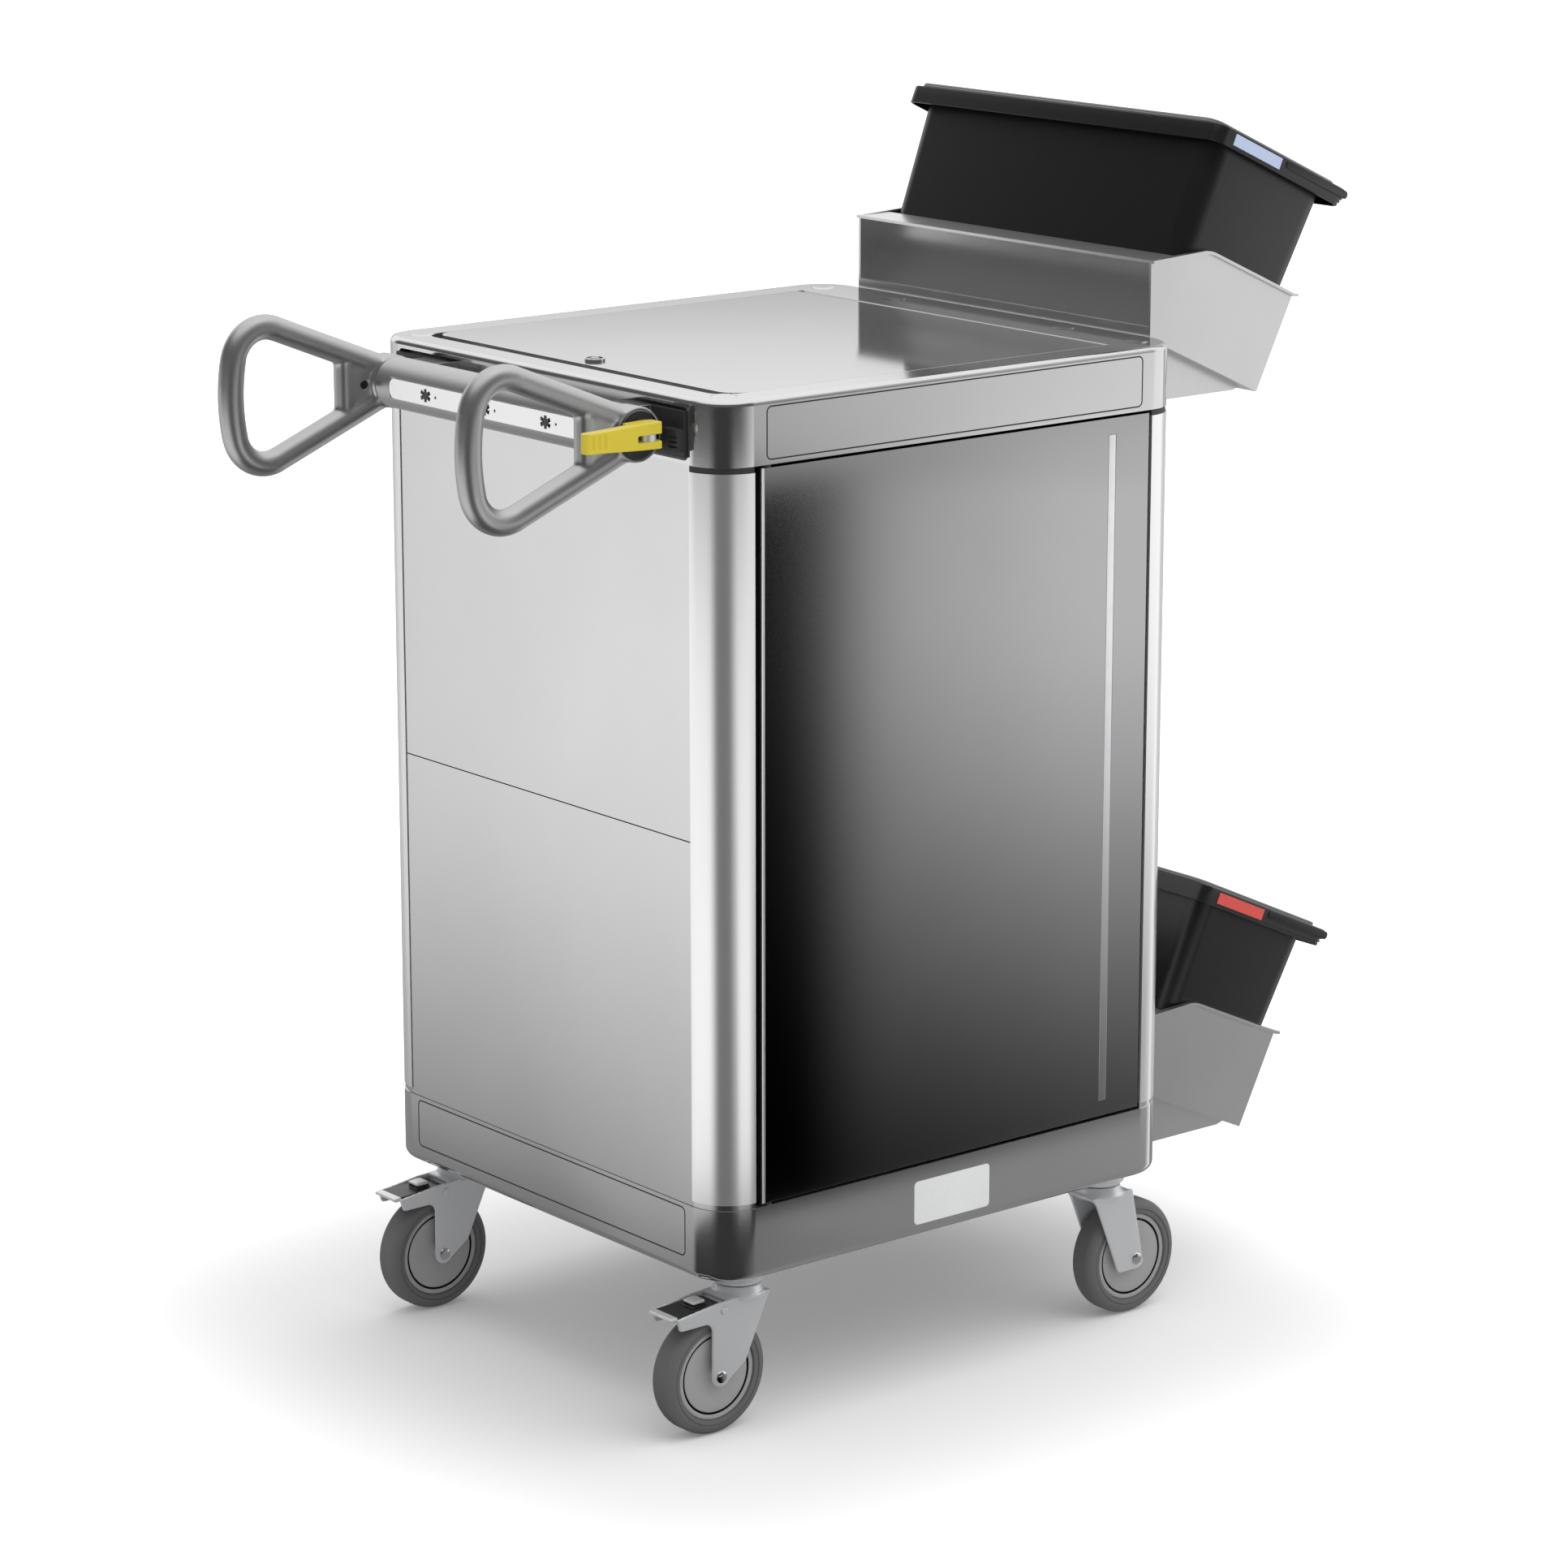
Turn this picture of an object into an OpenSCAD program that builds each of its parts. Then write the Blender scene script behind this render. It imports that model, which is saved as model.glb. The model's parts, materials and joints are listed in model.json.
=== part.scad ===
// Janitor cart: a closed cabinet on four swivel casters, with two folding push handles at one end
// and two tilted lift-out bins in sheet trays at the other end.
// Lengths are in millimetres. X runs from the push handles to the bins, Y from the door side to the
// plain side and Z up from the floor. The origin is on the floor, at the centre of the overall box.
// Inside the modules X is counted from the handle-end face of the cabinet.

/* [Cabinet] */
// length between the two end faces
body_l = 605; // [570:5:680]
// width between the door side and the plain side
body_w = 570; // [540:5:620]
// radius of the rounded corners
corner_r = 45; // [42:1:50]
// height of the base moulding
base_h = 75; // [70:1:90]
// rounding of the lower edge of the base
base_edge = 10; // [6:1:14]
// clear height between base and deck
cabinet_h = 740; // [640:10:800]
// height of the deck moulding
deck_h = 64; // [62:1:80]
// rounding of the upper edge of the deck
deck_edge = 6; // [3:0.5:8]
// wall of the plastic mouldings
shell_t = 4; // [3:0.5:5]
// sheet thickness of the wall panels
panel_t = 3; // [2:0.5:4]
// height of the seam between the lower and upper end panels above the base
seam_h = 370; // [300:10:420]

/* [Door] */
// thickness of the door leaf
door_t = 14; // [12:1:20]
// dark gap between the post and the hinge edge of the door
door_gap = 8; // [6:1:10]
// width of the pale profile on the hinge edge
edge_w = 4; // [3:0.5:6]
// width of the bright strip near the free edge
strip_w = 9.5; // [6:0.5:14]
// diameter of the pivot pins
pivot_d = 8; // [6:0.5:9]

/* [Lid] */
// distance of the lid's front edge from the handle-end face
lid_x0 = 48; // [46:1:56]
// distance of the lid's hinge axis from the bin-end face
lid_back = 76; // [74:1:90]
// margin between the lid and the long sides
lid_side = 40; // [38:1:50]
// thickness of the lid
lid_t = 8; // [7:0.5:10]
// finger gap in front of the lid
finger_gap = 13; // [9:1:13]
// diameter of the turn knob
knob_d = 21; // [18:1:26]

/* [Push handles] */
// distance of the pivot axis in front of the handle-end face
pivot_out = 39; // [37:1:50]
// diameter of the cross bar
bar_d = 52; // [46:1:54]
// diameter of the loop tube
loop_tube = 26; // [22:1:28]
// distance from the pivot axis to the centre line of the grip
loop_reach = 189; // [170:1:220]
// radius of the slightly bowed grip
loop_bow = 200; // [180:5:400]
// radius of the loop corners on the centre line
loop_corner = 36; // [30:1:40]
// spread of each loop arm from the horizontal
arm_angle = 22; // [18:0.5:24]
// distance of the arm's centre line from the pivot axis
arm_off = 10; // [8:0.5:12]
// distance of the loop's middle plane from the long side of the cabinet
loop_in = 84; // [80:1:100]
// width of the hub along the pivot axis
hub_w = 28; // [26:1:32]
// diameter of the hub
hub_d = 54; // [53:1:56]
// length of the cam lever from its pin to its free end
lever_l = 80; // [60:1:90]
// height of the cam lever
lever_h = 26; // [22:1:30]
// turn of the far clamp about the hub, which lays its lever along the upper arm
far_turn = 33; // [0:1:40]

/* [Trays and bins] */
// tilt of trays and bins
tilt = 24.5; // [20:0.5:28]
// draft of the tray and bin walls
draft = 2.5; // [2:0.5:3]
// sheet thickness of the trays
tray_t = 3; // [2:0.5:3.5]
// outer width of the tray floor
tray_b = 164; // [150:1:180]
// depth of the tray trough
tray_d = 110.5; // [90:0.5:120]
// outer length of the trays
tray_l = 464; // [440:1:480]
// depth of a bin from its floor to its rim
bin_h = 209; // [180:1:240]
// height of the bin's rim skirt
rim_h = 19; // [16:1:24]
// wall of the bins
bin_t = 3; // [2.5:0.5:4]
// thickness of the bin lids
bin_lid_t = 4; // [3:0.5:5]

/* [Casters] */
// diameter of the wheels
wheel_d = 125; // [100:1:130]
// width of the tread
wheel_w = 32; // [28:1:36]
// rise of the fork and cup above the wheel
fork_rise = 40; // [39:1:50]
// offset of the wheel axle from the swivel axis
trail = 37.5; // [34:0.5:42]
// distance of the swivel axes from the end faces
caster_in_x = 59; // [55:1:70]
// distance of the swivel axes from the long sides
caster_in_y = 47.5; // [45:0.5:60]
// diameter of the fixed cup
cup_d = 54; // [50:1:58]
// diameter of the wheel axles
axle_d = 8; // [8:0.5:10]

/* [Hidden] */
$fn = 64;
fit = 0.05;
play = 0.3;
eps = 1;
nest = 0.4;
moulding = [0.44, 0.45, 0.46];
pale_grey = [0.72, 0.73, 0.74];
door_grey = [0.20, 0.21, 0.22];
metal = [0.75, 0.76, 0.77];
handle_grey = [0.46, 0.47, 0.48];
black = [0.06, 0.06, 0.065];
yellow = [0.86, 0.76, 0.10];
white = [0.90, 0.91, 0.91];
rubber_grey = [0.42, 0.42, 0.42];

base_z = wheel_d + fork_rise;
base_top = base_z + base_h;
deck_z = base_top + cabinet_h;
deck_top = deck_z + deck_h;
half_w = body_w / 2;

collar_h = 6;
collar_in = 1;
face_in = 1;
post_t = 2.5;
port_d = 14;
port_in = 9;
screw_d = 8;
screw_head_d = 14;
screw_head_h = 8;
plug_d = 25;
shelf_z = base_top + seam_h - 10;
rail_h = 22;
rail_w = 24;
rail_t = 2;
bolt_y = 150;
bolt_drop = [22, 46];
bolt_bore = 40;
bolt_in = 14;
nut_block = [24, 22];
plug_t = 4;
corner_block = 88;

door_x0 = corner_r + door_gap + edge_w;
door_x1 = body_l - corner_r - 3;
door_y = face_in - half_w;
door_lift = 3;
door_z0 = base_top + door_lift;
door_h = cabinet_h - 2 * door_lift;
pivot_x = door_x0 + 5;
pivot_y = door_y + door_t / 2;
strip_x = door_x1 - 55;

lid_w = body_w - 2 * lid_side;
lid_gap = 0.7;
lid_r = 22;
barrel_r = 6;
hinge_x = body_l - lid_back;
hinge_z = deck_top - barrel_r;
hinge_pin_d = 6;
pin_grip = 12;
lid_seat_z = deck_top - lid_t - play;
comp_x0 = lid_x0 - 2;
comp_x1 = hinge_x - 11;
seat_x0 = lid_x0 + 8;
seat_t = 5.5;
seat_in = 4;
comp_w = lid_w - 26;
comp_r = 4;
knob_x = lid_x0 + 22;
knob_shaft = 10;
tongue_l = 20;
tongue_t = 4;
tongue_z = lid_seat_z - seat_t - tongue_t - 1.5;

handle_z = deck_z + deck_h * 0.47;
bar_x = -pivot_out;
loop_y = half_w - loop_in;
bar_half = loop_y - hub_w / 2 - play;
spigot_d = 30;
rosette_t = 5;
rosette_sink = 4;
rosette_d = hub_d - 6.5;
rosette_face = loop_y + hub_w / 2 - rosette_sink + rosette_t;
cam_r = 12.5;
lever_y = rosette_face + cam_r + 0.5;
eye_d = 14;
rod_d = 6;
slot_h = 7;
lever_round = 3.5;
lever_z = handle_z + 2;
flat_h = 22;
bar_flat = sqrt(pow(bar_d / 2, 2) - pow(flat_h / 2, 2));
recess_d = 8;
recess_h = deck_h - 13;
bracket_h = recess_h - 6;

bow_c = [-loop_reach + loop_bow, 0];
arm_n = [sin(arm_angle), cos(arm_angle)];
arm_u = [-cos(arm_angle), sin(arm_angle)];
arm_c0 = (arm_off - loop_corner) * arm_n;
arm_b = arm_u * (arm_c0 - bow_c);
arm_q = (arm_c0 - bow_c) * (arm_c0 - bow_c) - pow(loop_bow - loop_corner, 2);
corner_c = arm_c0 + (sqrt(arm_b * arm_b - arm_q) - arm_b) * arm_u;
arm_start = arm_off * arm_n + 11 * arm_u;
arm_end = corner_c + loop_corner * arm_n;
corner_a0 = 90 - arm_angle;
corner_a1 = atan2(corner_c[1], corner_c[0] - bow_c[0]);

tray_gap = 4;
tray_hb = tray_b / 2;
lean = tan(draft);
tray_drop = 5;
lip_w = 4;
upper_tray_z = deck_top - tray_drop;
lower_tray_z = base_top - tray_drop;
back_wall_h = 90;
gusset_in = 20;
gusset_drop = tray_hb * 2 * sin(tilt) - 1;
bin_z = tray_t + 0.5;
bin_hb = tray_hb - tray_t - 1.5;
bin_ht = bin_hb + bin_h * lean;
bin_lt = tray_l;
bin_lb = bin_lt - 2 * bin_h * lean;
rim_z = bin_z + bin_h;
rim_in = 13;
rim_out = 21;
rim_end = 12;
rim_u0 = -bin_ht - rim_in;
rim_u1 = bin_ht + rim_out;
rim_top = rim_z + rim_h;
bin_lid_z = rim_top + 0.2;

axle_z = wheel_d / 2;
crown_z = base_z - 24;
crown_t = 4;
cheek_y = wheel_w / 2 + 2.5;
cheek_t = 3;
cup_h = 14;
stem_d = 12;
stem_h = 36;
neck_h = 8.5;
pedal_x = -trail + 3.5;
pedal_z = crown_z - 9.7;
tyre_in = wheel_d * 0.376;

handle_reach = pivot_out + loop_reach + loop_tube / 2;
bin_reach = tray_gap + (tray_hb + rim_u1) * cos(tilt) + rim_top * sin(tilt);
mid_x = (body_l + bin_reach - handle_reach) / 2;

// unit vector
function unit(v) = v / norm(v);
// points of the arc of radius r that rounds the corner b between its neighbours a and c
function bend(a, b, c, r, n = 8) =
    let (u = unit(a - b), v = unit(c - b), half = acos(u * v) / 2,
         m = b + unit(u + v) * r / sin(half),
         s = b + u * r / tan(half) - m, e = b + v * r / tan(half) - m,
         a0 = atan2(s[1], s[0]), turn = atan2(s[0] * e[1] - s[1] * e[0], s * e))
    [for (i = [0:n]) m + r * [cos(a0 + turn * i / n), sin(a0 + turn * i / n)]];
// point of a tray's cross-section, u along its floor from the middle and w up from the floor
function tp(u, w) = [tray_gap + (u + tray_hb) * cos(tilt) + w * sin(tilt),
                     w * cos(tilt) - (u + tray_hb) * sin(tilt)];

module at_body() {
    translate([-mid_x, 0, 0]) children();
}

// each corner's arc centre, with the corner turned to -X -Y
module corners() {
    for (sx = [0, 1], sy = [0, 1])
        translate([sx == 0 ? corner_r : body_l - corner_r, (sy == 0 ? -1 : 1) * (half_w - corner_r), 0])
            mirror([sx, 0, 0])
                mirror([0, sy, 0])
                    children();
}

// swivel axis of one caster, with the wheel trailing to -X
module at_caster(sx, sy) {
    translate([sx == 0 ? caster_in_x : body_l - caster_in_x, sy * (half_w - caster_in_y), 0])
        mirror([sx, 0, 0])
            children();
}

// pivot centre of one push handle, built for the far side and mirrored to the near side
module at_handle(side) {
    mirror([0, side < 0 ? 1 : 0, 0])
        translate([bar_x, 0, handle_z])
            children();
}

// middle of a tray's floor, with X along the floor and Z up the bin
module in_tray(z0) {
    translate([body_l + tray_gap + tray_hb * cos(tilt), 0, z0 - tray_hb * sin(tilt)])
        rotate([0, tilt, 0])
            children();
}

// outline drawn in X and Z, thickened along Y about y
module side_plate(y, t) {
    translate([0, y, 0]) rotate([90, 0, 0]) linear_extrude(t, center = true) children();
}

module rrect(l, w, r) {
    square([l - 2 * r, w], center = true);
    square([l, w - 2 * r], center = true);
    for (sx = [-1, 1], sy = [-1, 1])
        translate([sx * (l / 2 - r), sy * (w / 2 - r)]) circle(r);
}

// quarter disc turned to -X -Y
module quarter(r) {
    intersection() {
        circle(r);
        translate([-r, -r]) square(r);
    }
}

// slab with rounded plan corners and a rounded lower edge
module soft_slab(l, w, r, h, e) {
    translate([0, 0, e]) linear_extrude(h - e) rrect(l, w, r);
    linear_extrude(e) rrect(l - 2 * e, w - 2 * e, r - e);
    for (s = [-1, 1]) {
        translate([0, s * (w / 2 - e), e]) rotate([0, 90, 0]) cylinder(r = e, h = l - 2 * r, center = true);
        translate([s * (l / 2 - e), 0, e]) rotate([90, 0, 0]) cylinder(r = e, h = w - 2 * r, center = true);
    }
    for (sx = [-1, 1], sy = [-1, 1])
        translate([sx * (l / 2 - r), sy * (w / 2 - r), e])
            rotate_extrude() translate([r - e, 0]) circle(e);
}

// rectangle with its two handle-end corners rounded
module front_round(x0, x1, w, r) {
    translate([x0 + r, -w / 2]) square([x1 - x0 - r, w]);
    translate([x0, r - w / 2]) square([2 * r, w - 2 * r]);
    for (s = [-1, 1])
        translate([x0 + r, s * (w / 2 - r)]) circle(r);
}

// outlines of the flat inlays, grown by g
module base_inlay_shape(g) {
    rrect(body_w - 114 + 2 * g, base_h - 26 + 2 * g, 5 + g);
}

module deck_inlay_shape(g) {
    rrect(body_l - 120 + 2 * g, deck_h - 14 + 2 * g, 5 + g);
}

module badge_shape(g) {
    rrect(101 + 2 * g, 46 + 2 * g, 5 + g);
}

// places of the flat pieces let into the mouldings
module at_base_inlay() {
    translate([0, 0, base_z + base_h / 2 + 8]) rotate([90, 0, 90]) children();
}

module at_deck_inlays() {
    for (s = [0, 1])
        mirror([0, s, 0])
            translate([body_l / 2, -half_w, deck_z + deck_h / 2 - 1.5]) rotate([90, 0, 0]) mirror([0, 0, 1])
                children();
}

module at_badge() {
    translate([body_l / 2 - 2, -half_w, base_z + base_h / 2 - 1.5]) rotate([90, 0, 0]) mirror([0, 0, 1]) children();
}

// bolt places on the back of a tray, on the moulding that carries it
module at_tray_bolts(z0) {
    for (y = [-bolt_y, bolt_y], dz = bolt_drop)
        translate([body_l, y, z0 - dz]) rotate([0, 90, 0]) children();
}

// top plug places: corner screws and rear strip sockets
module at_plugs() {
    corners() translate([-port_in, -port_in, 0]) children();
    for (s = [-1, 1])
        translate([body_l - 31, s * body_w * 0.235, 0]) children();
}

module base_tray() {
    color(moulding) at_body() difference() {
        union() {
            translate([body_l / 2, 0, base_z]) soft_slab(body_l, body_w, corner_r, base_h, base_edge);
            corners() translate([0, 0, base_top - eps])
                linear_extrude(collar_h + eps) quarter(corner_r - collar_in);
        }
        translate([body_l / 2, 0, base_z + shell_t]) linear_extrude(base_h) difference() {
            rrect(body_l - 2 * shell_t - 4, body_w - 2 * shell_t - 4, corner_r - shell_t - 2);
            for (sx = [-1, 1], sy = [-1, 1])
                translate([sx * body_l / 2, sy * half_w]) square(2 * corner_block, center = true);
            for (sy = [-1, 1])
                translate([body_l / 2, sy * bolt_y]) square([2 * nut_block[0], nut_block[1]], center = true);
        }
        for (sx = [0, 1], sy = [-1, 1])
            at_caster(sx, sy) translate([0, 0, base_z - eps]) cylinder(d = stem_d + 2 * fit, h = stem_h + 2 * eps);
        corners() translate([-port_in, -port_in, base_z - eps]) {
            cylinder(d = screw_d + 0.4, h = base_h + collar_h + 2 * eps);
            cylinder(d = screw_head_d + 1, h = screw_head_h + 2 * eps);
        }
        at_base_inlay() translate([0, 0, -eps]) linear_extrude(1.5 + eps) base_inlay_shape(1);
        at_badge() translate([0, 0, -eps]) linear_extrude(0.7 + eps) badge_shape(0.3);
        translate([pivot_x, pivot_y, base_top - 16]) cylinder(d = pivot_d + 2 * fit, h = 16 + eps);
        at_tray_bolts(lower_tray_z) translate([0, 0, -bolt_in]) cylinder(d = screw_d + 0.4, h = bolt_in + eps);
    }
}

module trim_inlays() {
    color(moulding) at_body() {
        at_base_inlay() linear_extrude(1.5) base_inlay_shape(0);
        at_deck_inlays() linear_extrude(1.5) deck_inlay_shape(0);
    }
}

module badge_plate() {
    color(white) at_body() at_badge() linear_extrude(0.7) badge_shape(0);
}

// hollow quarter-round extrusion with a screw port
module post_profile() {
    difference() {
        union() {
            difference() {
                quarter(corner_r);
                intersection() {
                    circle(corner_r - post_t);
                    translate([-corner_r, -corner_r]) square(corner_r - post_t);
                }
            }
            translate([-port_in, -port_in]) circle(d = port_d);
            rotate(45) translate([post_t - corner_r, -post_t / 2]) square([corner_r - port_in * 1.5, post_t]);
        }
        translate([-port_in, -port_in]) circle(d = screw_d + 2 * fit);
    }
}

module corner_posts() {
    color(metal) at_body() corners()
        translate([0, 0, base_top + collar_h]) linear_extrude(cabinet_h - 2 * collar_h) post_profile();
}

module post_screw() {
    cylinder(d = screw_head_d, h = screw_head_h);
    cylinder(d = screw_d, h = base_h + collar_h + 40);
}

module post_screws() {
    color(metal) at_body() corners() translate([-port_in, -port_in, 0]) {
        translate([0, 0, base_z + eps]) post_screw();
        translate([0, 0, deck_top - plug_t - 0.2]) mirror([0, 0, 1]) post_screw();
    }
}

module deck_frame() {
    color(moulding) at_body() difference() {
        union() {
            translate([body_l / 2, 0, deck_top]) mirror([0, 0, 1])
                soft_slab(body_l, body_w, corner_r, deck_h, deck_edge);
            corners() translate([0, 0, deck_z - collar_h])
                linear_extrude(collar_h + eps) quarter(corner_r - collar_in);
        }
        translate([(comp_x0 + comp_x1) / 2, 0, deck_z + shell_t])
            linear_extrude(lid_seat_z - seat_t - deck_z - shell_t) rrect(comp_x1 - comp_x0, comp_w, comp_r);
        translate([(seat_x0 + comp_x1 - seat_in) / 2, 0, deck_z + 2 * shell_t])
            linear_extrude(deck_h) rrect(comp_x1 - seat_in - seat_x0, comp_w - 2 * seat_in, comp_r);
        translate([0, 0, lid_seat_z])
            linear_extrude(deck_h) front_round(lid_x0 - finger_gap, hinge_x, lid_w + 2 * lid_gap, lid_r);
        translate([hinge_x, 0, hinge_z]) rotate([90, 0, 0]) {
            cylinder(r = barrel_r + lid_gap, h = lid_w + 2 * lid_gap, center = true);
            cylinder(d = hinge_pin_d + 2 * fit, h = lid_w + 2 * pin_grip, center = true);
        }
        translate([hinge_x - eps, -lid_w / 2 - lid_gap, hinge_z])
            cube([barrel_r + lid_gap + eps, lid_w + 2 * lid_gap, barrel_r + eps]);
        translate([14, -0.36 * body_w, deck_z - eps])
            cube([comp_x0 - shell_t - 14, 0.72 * body_w, deck_h - 16 + eps]);
        translate([comp_x1 + 6, -0.36 * body_w, deck_z - eps])
            cube([body_l - comp_x1 - 14, 0.72 * body_w, deck_h - 16 + eps]);
        for (s = [0, 1])
            mirror([0, s, 0]) translate([80, 6 - half_w, deck_z - eps])
                cube([body_l - 170, half_w - comp_w / 2 - 12, deck_h - 16 + eps]);
        at_plugs() {
            translate([0, 0, deck_top - plug_t]) cylinder(d = plug_d + 0.4, h = plug_t + eps);
        }
        corners() translate([-port_in, -port_in, deck_z - collar_h - eps]) {
            cylinder(d = screw_d + 0.4, h = deck_h + collar_h);
            translate([0, 0, deck_h + collar_h + eps - plug_t - screw_head_h - 1])
                cylinder(d = screw_head_d + 1, h = screw_head_h + 2);
        }
        translate([0, 0, deck_z + 29.5]) rotate([90, 0, 90]) translate([0, 0, -eps])
            linear_extrude(recess_d + eps) rrect(body_w - 2 * corner_r - 2, recess_h, 6);
        at_deck_inlays() translate([0, 0, -eps]) linear_extrude(1.5 + eps) deck_inlay_shape(1);
        translate([pivot_x, pivot_y, deck_z - eps]) cylinder(d = pivot_d + 2 * fit, h = 16 + eps);
        at_tray_bolts(upper_tray_z) cylinder(d = screw_d + 0.4, h = bolt_bore, center = true);
    }
}

module deck_plugs() {
    color(moulding) at_body() at_plugs() translate([0, 0, deck_top - plug_t]) {
        cylinder(d = plug_d, h = plug_t);
        translate([0, 0, plug_t]) cylinder(d1 = plug_d, d2 = plug_d - 5, h = 0.8);
    }
}

// wall panel across an end, its outer face turned to -X
module end_panel(z0, h) {
    translate([face_in, corner_r + 0.3 - half_w, z0]) cube([panel_t, body_w - 2 * corner_r - 0.6, h]);
}

module handle_panel_upper() {
    color(pale_grey) at_body() end_panel(base_top + seam_h + 0.6, cabinet_h - seam_h - 0.6);
}

module handle_panel_lower() {
    color(pale_grey) at_body() end_panel(base_top, seam_h - 0.6);
}

module bin_panel_upper() {
    color(pale_grey) at_body() translate([body_l, 0, 0]) mirror([1, 0, 0])
        end_panel(base_top + seam_h + 0.6, cabinet_h - seam_h - 0.6);
}

module bin_panel_lower() {
    color(pale_grey) at_body() translate([body_l, 0, 0]) mirror([1, 0, 0])
        end_panel(base_top, seam_h - 0.6);
}

module rear_panel() {
    color(pale_grey) at_body() translate([corner_r + 0.3, half_w - face_in - panel_t, base_top])
        cube([body_l - 2 * corner_r - 0.6, panel_t, cabinet_h]);
}

// angle rails on the end panels
module shelf_rails() {
    color(metal) at_body() for (s = [0, 1])
        translate([s * body_l, 0, 0]) mirror([s, 0, 0])
            side_plate(0, body_w - 4 * corner_r) translate([face_in + panel_t, shelf_z - rail_h]) {
                square([rail_t, rail_h]);
                translate([0, rail_h - rail_t]) square([rail_w, rail_t]);
            }
}

// sheet shelf with an upturned front edge and cleared corners
module shelf() {
    color(pale_grey) at_body() translate([0, 0, shelf_z]) difference() {
        union() {
            translate([face_in + panel_t + 1, door_y + door_t + 10, 0])
                cube([body_l - 2 * (face_in + panel_t + 1), body_w - door_t - 16, 2]);
            translate([corner_r + 12, door_y + door_t + 10, 0]) cube([body_l - 2 * corner_r - 24, 2, 22]);
        }
        for (x = [0, body_l], y = [-half_w, half_w])
            translate([x, y, 0]) cube([2 * corner_r + 8, 2 * corner_r + 8, 10], center = true);
    }
}

// tube with closed ends, a flat for the socket strip and spigots for the loops
module crossbar() {
    color(handle_grey) at_body() translate([bar_x, 0, handle_z]) difference() {
        rotate([90, 0, 0]) {
            cylinder(d = bar_d, h = 2 * bar_half, center = true);
            cylinder(d = spigot_d, h = 2 * (rosette_face - rosette_t - 0.5), center = true);
        }
        rotate([90, 0, 0]) {
            cylinder(d = bar_d - 8, h = 2 * bar_half - 16, center = true);
            cylinder(d = rod_d + 3, h = 4 * bar_half, center = true);
        }
        translate([-bar_d / 2 - bar_flat, 0, 0]) cube([bar_d, body_w - 242, flat_h], center = true);
        socket_holes(bar_d);
    }
}

// three six-lobed sockets with a small round hole beside each
module socket_holes(depth) {
    for (i = [-1, 0, 1])
        translate([-bar_d / 2, i * 100, 0]) {
            cube([depth, 4.5, 13], center = true);
            for (a = [-24, 24])
                rotate([a, 0, 0]) cube([depth, 17, 4], center = true);
            translate([0, -17, 0]) rotate([0, 90, 0]) cylinder(d = 3, h = depth, center = true);
        }
}

module crossbar_strip() {
    color(metal) at_body() translate([bar_x, 0, handle_z]) difference() {
        translate([-bar_flat, 0, 0]) rotate([0, -90, 0]) linear_extrude(2.5) rrect(20, body_w - 244, 9);
        socket_holes(20);
    }
}

// saddle behind the bar with a plate in the deck's recess and a ribbed catch at its outer end
module crossbar_bracket() {
    difference() {
        union() {
            translate([-4, bar_half - 42, deck_z + 7]) cube([recess_d + 4, half_w - corner_r - bar_half + 40, bracket_h]);
            translate([bar_x + 15, bar_half - 42, deck_z + 7]) cube([pivot_out + recess_d - 15, 42, bracket_h]);
            translate([-14, half_w - corner_r - 24, handle_z - 17]) cube([12, 22, 22]);
        }
        translate([bar_x, 0, handle_z]) rotate([90, 0, 0]) cylinder(d = bar_d + 2 * fit, h = body_w, center = true);
        for (i = [-1, 0, 1])
            translate([-14, half_w - corner_r - 2, handle_z - 7 + i * 4.5]) cube([4, 22, 1.8], center = true);
    }
}

module crossbar_brackets() {
    color(black) at_body() for (s = [0, 1])
        mirror([0, s, 0]) crossbar_bracket();
}

// pin with a collar that carries the door
module door_pivot() {
    cylinder(d = pivot_d, h = 15 + door_lift + 12);
    translate([0, 0, 15]) cylinder(d = pivot_d + 6, h = door_lift - play);
}

module door_pivots() {
    color(metal) at_body() translate([pivot_x, pivot_y, 0]) {
        translate([0, 0, base_top - 15]) door_pivot();
        translate([0, 0, deck_z + 15]) mirror([0, 0, 1]) door_pivot();
    }
}

module lid_hinge_pins() {
    color(metal) at_body() for (s = [0, 1])
        mirror([0, s, 0]) translate([hinge_x, lid_w / 2 + pin_grip, hinge_z]) rotate([90, 0, 0])
            cylinder(d = hinge_pin_d, h = 2 * pin_grip);
}

// flap with a hollow underside, a round hinge edge and a bore for the knob
module lid() {
    color(moulding) at_body() difference() {
        union() {
            translate([0, 0, deck_top - lid_t]) linear_extrude(lid_t) front_round(lid_x0, hinge_x, lid_w, lid_r);
            translate([hinge_x, 0, hinge_z]) rotate([90, 0, 0]) cylinder(r = barrel_r, h = lid_w, center = true);
        }
        difference() {
            translate([0, 0, deck_top - lid_t - eps]) linear_extrude(lid_t - 3.5 + eps)
                front_round(lid_x0 + 9, hinge_x - 18, lid_w - 22, lid_r - 8);
            translate([knob_x, 0, 0]) cylinder(d = knob_shaft + 14, h = deck_top);
        }
        translate([hinge_x, 0, hinge_z]) rotate([90, 0, 0])
            cylinder(d = hinge_pin_d + 2 * fit, h = lid_w + eps, center = true);
        translate([knob_x, 0, deck_top - 20]) cylinder(d = knob_shaft + 2 * fit, h = 40);
    }
}

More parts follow.
